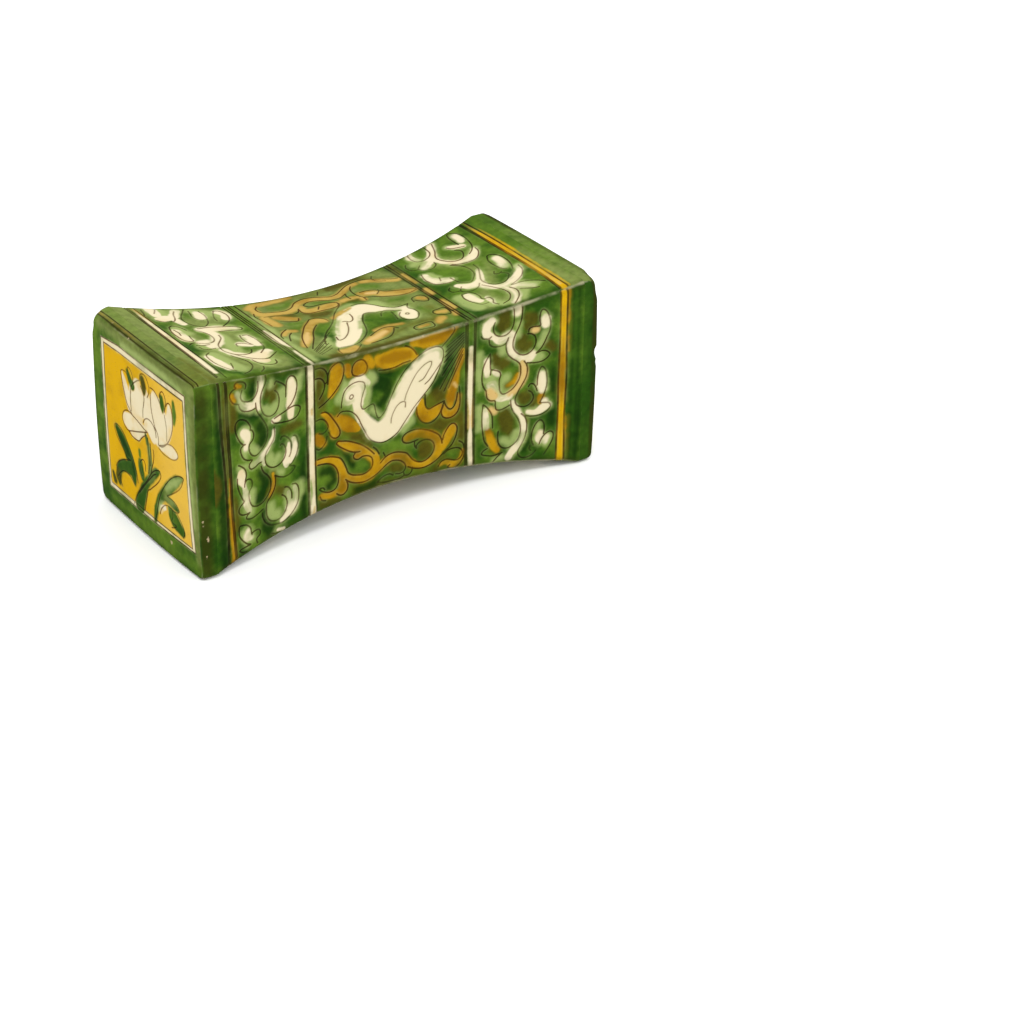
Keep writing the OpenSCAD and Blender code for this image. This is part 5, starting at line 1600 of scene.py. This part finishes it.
def three_colour_glaze(name, colours):
    """Runny glazes over white slip, each laid by its distance from the strokes and worn along the edges,
    with painted highlights on the edges and on the lips of the incised lines.
    """
    shader = Shader(name)
    # The edges of the glazes drift, and are soft in some places and crisp in others
    slow = shader.spread(shader.noise(38, 3.0), 3.6)
    drift = shader.math("ADD", slow, shader.spread(shader.noise(190, 4.0), 2.6))
    softness = shader.patches(80, 2.0, 0.40, 0.62, 0.4, 1.6)

    def laid(glaze, start, end, wandering, strength=1.0):
        """Share of a glaze, from none at start to its strength at end, with an edge that wanders."""
        gap = shader.math("ADD", shader.attribute(glaze), shader.times(drift, wandering))
        return shader.ramp(gap, start, end, 0.0, strength)

    # The green ground, thin and thick
    glaze = shader.mix(shader.patches(52, 5.0, 0.38, 0.66), colours.green, colours.leaf)
    for layer, start, end, wandering, strength in GROUND_GLAZES:
        share = laid(layer, start, end, wandering, strength)
        glaze = shader.mix(share, glaze, getattr(colours, layer))
    mottle = shader.patches(300, 5.0, 0.3, 0.7, 0.86, 1.12)
    glaze = shader.mix(1.0, glaze, mottle, "MULTIPLY")

    # Washes that spread from the amber and the cream into the green
    glaze = shader.mix(laid("pale", 2.4, -1.2, 1.0, 0.85), glaze, colours.pale)
    halo = shader.patches(64, 3.0, 0.36, 0.62, 0.15, 0.85)
    glaze = shader.mix(shader.times(laid("cream", 3.0, 0.0, 1.2), halo), glaze, colours.pale)
    glaze = shader.mix(laid("amber", 2.8, -0.2, 1.0, 0.85), glaze, colours.moss)
    glaze = shader.mix(laid("wash", 4.2, 0.0, 1.4, 0.35), glaze, colours.moss)

    # The amber and the cream themselves
    amber = shader.mix(shader.patches(62, 4.0, 0.38, 0.64), colours.amber, colours.honey)
    amber = shader.mix(shader.patches(30, 3.0, 0.56, 0.68, 0.0, 0.6), amber, colours.moss)
    gold = shader.mix(shader.patches(70, 4.0, 0.42, 0.70, 0.0, 0.6), colours.gold, colours.amber)
    from_middle = shader.math("ABSOLUTE", shader.along("X"))
    past_wall = shader.math("SUBTRACT", from_middle, WALL_LENGTH / 2 * MM)
    at_end = shader.ramp(past_wall, STRAW_START * MM, STRAW_FULL * MM)
    in_front = shader.ramp(shader.along("Y"), STRAW_BACK * MM, STRAW_FRONT * MM, 0.0, 0.6)
    gold = shader.mix(shader.times(at_end, in_front), gold, colours.straw)
    wash = shader.mix(shader.patches(75, 3.0, 0.42, 0.66, 0.0, 0.6), colours.wash, colours.honey)
    glaze = shader.mix(laid("gold", 1.0, -0.7, 0.5), glaze, gold)
    glaze = shader.mix(laid("wash", 1.6, -1.0, 0.6, 0.92), glaze, wash)
    glaze = shader.mix(laid("amber", softness, -0.6, 0.5), glaze, amber)
    glaze = shader.mix(laid("honey", 1.8, -1.2, 0.8, 0.85), glaze, colours.honey)
    glaze = shader.mix(laid("tan", 1.6, -0.8, 0.6), glaze, colours.tan)
    glaze = shader.mix(shader.patches(1300, 2.0, 0.66, 0.76, 0.0, 0.5), glaze, colours.speck)
    inside = shader.ramp(shader.attribute("cream"), -2.8, -0.8)
    thin = shader.times(shader.patches(55, 3.0, 0.48, 0.64, 0.0, 0.75), inside)
    cream = shader.mix(shader.patches(48, 5.0, 0.48, 0.74, 0.0, 0.4), colours.cream, colours.tan)
    share = shader.times(laid("cream", softness, -0.5, 0.5), shader.math("SUBTRACT", 1.0, thin))
    glaze = shader.mix(share, glaze, cream)
    brushed = shader.patches(85, 3.0, 0.32, 0.54, 0.6, 1.0)
    glaze = shader.mix(shader.times(laid("slip", 0.8, -0.5, 0.45), brushed), glaze, cream)

    # Incised lines, with thin glaze and a painted highlight on their lips
    # Pale on the lips: thin glaze and a painted highlight
    lip_glaze_and_highlight = shader.patches(90, 3.0, 0.4, 0.6, 0.04, 0.22)
    glaze = shader.mix(shader.times(shader.attribute("lip_glaze_and_highlight"), lip_glaze_and_highlight), glaze, colours.pale)
    pressed = shader.patches(48, 3.0, 0.34, 0.58, 0.6, 0.95)
    line = shader.times(shader.ramp(shader.attribute("line"), 0.2, 0.62), pressed)
    glaze = shader.mix(line, glaze, colours.groove, "MULTIPLY")

    # Wear and a painted highlight along the edges, and chips
    blotches = shader.patches(58, 4.0, 0.32, 0.6, 0.3, 1.0)
    glaze = shader.mix(shader.times(shader.attribute("stain"), blotches), glaze, colours.stain)
    wear_and_highlight_edge = shader.math("ADD", shader.attribute("edge"), shader.times(drift, 0.4))
    wear_and_highlight_share = shader.patches(70, 4.0, 0.38, 0.62, 0.06, 0.7)
    # Pale colour along the edges: wear, and a painted highlight on the rounded edges
    rubbed_and_highlight = shader.times(shader.ramp(wear_and_highlight_edge, 1.4, 0.1), wear_and_highlight_share)
    glaze = shader.mix(rubbed_and_highlight, glaze, colours.worn_and_highlight)
    bare = shader.math("ADD", shader.attribute("chip"), shader.spread(shader.noise(620, 3.0), 3.4))
    chipped = shader.ramp(bare, 0.1, -0.5, 0.0, 0.85)
    glaze = shader.mix(chipped, glaze, colours.clay)
    shader.feed(shader.surface.inputs["Base Color"], glaze)

    gloss = shader.patches(260, 4.0, 0.3, 0.75, 0.12, 0.3)
    rough = shader.times(shader.math("MAXIMUM", rubbed_and_highlight, chipped), 0.65)
    shader.feed(shader.surface.inputs["Roughness"], shader.math("MAXIMUM", gloss, rough))
    shader.surface.inputs["Specular IOR Level"].default_value = 0.0
    shader.surface.inputs["Coat Weight"].default_value = 0.05
    shader.surface.inputs["Coat Roughness"].default_value = 0.1
    shader.bump(shader.noise(420, 3.0), 0.12, 0.0006)
    return shader.material


def fired_clay(name, colours):
    """Bare buff clay with iron specks and a gritty surface."""
    shader = Shader(name)
    dark = tuple(0.7 * part for part in colours.clay)
    base = shader.mix(shader.patches(60, 5.0, 0.3, 0.7), dark, colours.clay)
    base = shader.mix(shader.patches(900, 2.0, 0.68, 0.74, 0.0, 0.6), base, colours.speck)
    shader.feed(shader.surface.inputs["Base Color"], base)
    rough = shader.patches(300, 4.0, 0.3, 0.7, 0.72, 0.95)
    shader.feed(shader.surface.inputs["Roughness"], rough)
    shader.bump(shader.noise(700, 4.0), 0.35, 0.0004)
    return shader.material


def finish_named(name, make):
    """A material of the pillow, made the first time that it is asked for."""
    return bpy.data.materials.get(name) or make(name, bpy.context.scene.glaze_colours)


def slab_finishes():
    """What the faces of a slab are finished with: glaze outside, bare clay inside and in the joints."""
    return [finish_named("three_colour_glaze", three_colour_glaze), finish_named("fired_clay", fired_clay)]


class PILLOW_OT_walls(bpy.types.Operator):
    """Builds the four hollowed wall slabs with their drawings and glazes"""

    bl_idname = "pillow.walls"
    bl_label = "Wall Slabs"

    def execute(self, context):
        sizes = in_millimetres(context.scene.pillow_sizes)
        for name, quarter_turns in WALLS.items():
            build_wall(name, quarter_turns, sizes, slab_finishes())
        return {"FINISHED"}


class PILLOW_OT_ends(bpy.types.Operator):
    """Builds the two end slabs with their framed lotus"""

    bl_idname = "pillow.ends"
    bl_label = "End Slabs"

    def execute(self, context):
        sizes = in_millimetres(context.scene.pillow_sizes)
        for name, side in ENDS.items():
            build_end(name, side, sizes, slab_finishes())
        return {"FINISHED"}


class PILLOW_OT_coils(bpy.types.Operator):
    """Gives the clay coils inside the seams their bare fired finish"""

    bl_idname = "pillow.coils"
    bl_label = "Seam Coils"

    def execute(self, context):
        clay = finish_named("fired_clay", fired_clay)
        for name in COILS:
            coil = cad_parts[name]
            coil.data.materials.clear()
            coil.data.materials.append(clay)
        return {"FINISHED"}


# The camera stands to the front left and looks down: degrees, millimetres and pixels
CAMERA_AZIMUTH = -35.41
CAMERA_ELEVATION = 28.89
CAMERA_ROLL = 1.10
CAMERA_DISTANCE = 1294.0
CAMERA_ACROSS = 79.29
CAMERA_UP = -17.02
FOCAL_PIXELS = 2617.9
IMAGE_W = 1024
SENSOR_W = 36.0

# The studio, in metres and watts: half the width of the floor, its tones, the light from all round,
# and the soft lights with their places, sizes and powers
FLOOR_HALF = 8.0
FLOOR_DULL = (0.91, 0.91, 0.91)
FLOOR_BRIGHT = (0.93, 0.93, 0.93)
LIGHT_ALL_ROUND = 1.3
SOFT_LIGHTS = (
    ("overhead", (-0.35, -0.5, 1.5), 0.5, 7.0),
    ("edge", (0.75, -0.72, 1.07), 0.2, 2.5),
)


def soft_light(name, stand, size, power):
    """Adds a round light that faces the middle of the pillow."""
    data = bpy.data.lights.new(name, "AREA")
    data.shape = "DISK"
    data.size = size
    data.energy = power
    light = bpy.data.objects.new(name, data)
    light.location = stand
    light.rotation_euler = (Vector((0, 0, HALF * MM)) - Vector(stand)).to_track_quat("-Z", "Y").to_euler()
    bpy.context.scene.collection.objects.link(light)


class PILLOW_OT_stage(bpy.types.Operator):
    """Sets up the pale floor, the soft lights and the camera"""

    bl_idname = "pillow.stage"
    bl_label = "Studio"

    def execute(self, context):
        context.scene.view_settings.view_transform = "Standard"
        self.add_floor(context.scene)
        self.add_lights(context.scene)
        self.add_camera(context.scene)
        return {"FINISHED"}

    def add_floor(self, scene):
        mesh_edit = bmesh.new()
        bmesh.ops.create_grid(mesh_edit, x_segments=4, y_segments=4, size=FLOOR_HALF)
        mesh = bpy.data.meshes.new("floor")
        mesh_edit.to_mesh(mesh)
        mesh_edit.free()
        shader = Shader("pale_floor")
        tone = shader.mix(shader.noise(2.0, 2.0), FLOOR_DULL, FLOOR_BRIGHT)
        shader.feed(shader.surface.inputs["Base Color"], tone)
        shader.surface.inputs["Roughness"].default_value = 0.9
        shader.surface.inputs["Specular IOR Level"].default_value = 0.0
        mesh.materials.append(shader.material)
        floor = bpy.data.objects.new("floor", mesh)
        scene.collection.objects.link(floor)

    def add_lights(self, scene):
        world = bpy.data.worlds.new("studio")
        scene.world = world
        world.use_nodes = True
        background = world.node_tree.nodes["Background"]
        background.inputs["Color"].default_value = (1.0, 1.0, 1.0, 1.0)
        background.inputs["Strength"].default_value = LIGHT_ALL_ROUND
        for name, stand, size, power in SOFT_LIGHTS:
            soft_light(name, stand, size, power)

    def add_camera(self, scene):
        azimuth = math.radians(CAMERA_AZIMUTH)
        elevation = math.radians(CAMERA_ELEVATION)
        level = Vector((math.cos(azimuth), math.sin(azimuth), 0))
        towards = Vector((math.sin(azimuth), -math.cos(azimuth), 0))
        back = towards * math.cos(elevation) + Vector((0, 0, math.sin(elevation)))
        roll = Matrix.Rotation(math.radians(CAMERA_ROLL), 3, back)
        right = roll @ level
        up = roll @ back.cross(level)
        data = bpy.data.cameras.new("camera")
        data.sensor_width = SENSOR_W
        data.lens = FOCAL_PIXELS / IMAGE_W * SENSOR_W
        camera = bpy.data.objects.new("camera", data)
        stand = (back * CAMERA_DISTANCE + right * CAMERA_ACROSS + up * CAMERA_UP) * MM
        camera.matrix_world = Matrix.Translation(stand) @ Matrix((right, up, back)).transposed().to_4x4()
        scene.collection.objects.link(camera)
        scene.camera = camera


OPERATORS = (PILLOW_OT_walls, PILLOW_OT_ends, PILLOW_OT_coils, PILLOW_OT_stage)


class PILLOW_PT_panel(bpy.types.Panel):
    """Lists the pieces of the pillow and its studio"""

    bl_idname = "PILLOW_PT_panel"
    bl_label = "Ceramic Pillow"
    bl_space_type = "VIEW_3D"
    bl_region_type = "UI"
    bl_category = "Pillow"

    def draw(self, context):
        for operator in OPERATORS:
            self.layout.operator(operator.bl_idname)


CLASSES = (PillowSizes, GlazeColours) + OPERATORS + (PILLOW_PT_panel,)


def register():
    for item in CLASSES:
        bpy.utils.register_class(item)
    bpy.types.Scene.pillow_sizes = PointerProperty(type=PillowSizes)
    bpy.types.Scene.glaze_colours = PointerProperty(type=GlazeColours)


def unregister():
    del bpy.types.Scene.glaze_colours
    del bpy.types.Scene.pillow_sizes
    for item in reversed(CLASSES):
        bpy.utils.unregister_class(item)


def main():
    register()
    bpy.ops.pillow.walls()
    bpy.ops.pillow.ends()
    bpy.ops.pillow.coils()
    bpy.ops.pillow.stage()


if __name__ == "__main__":
    main()
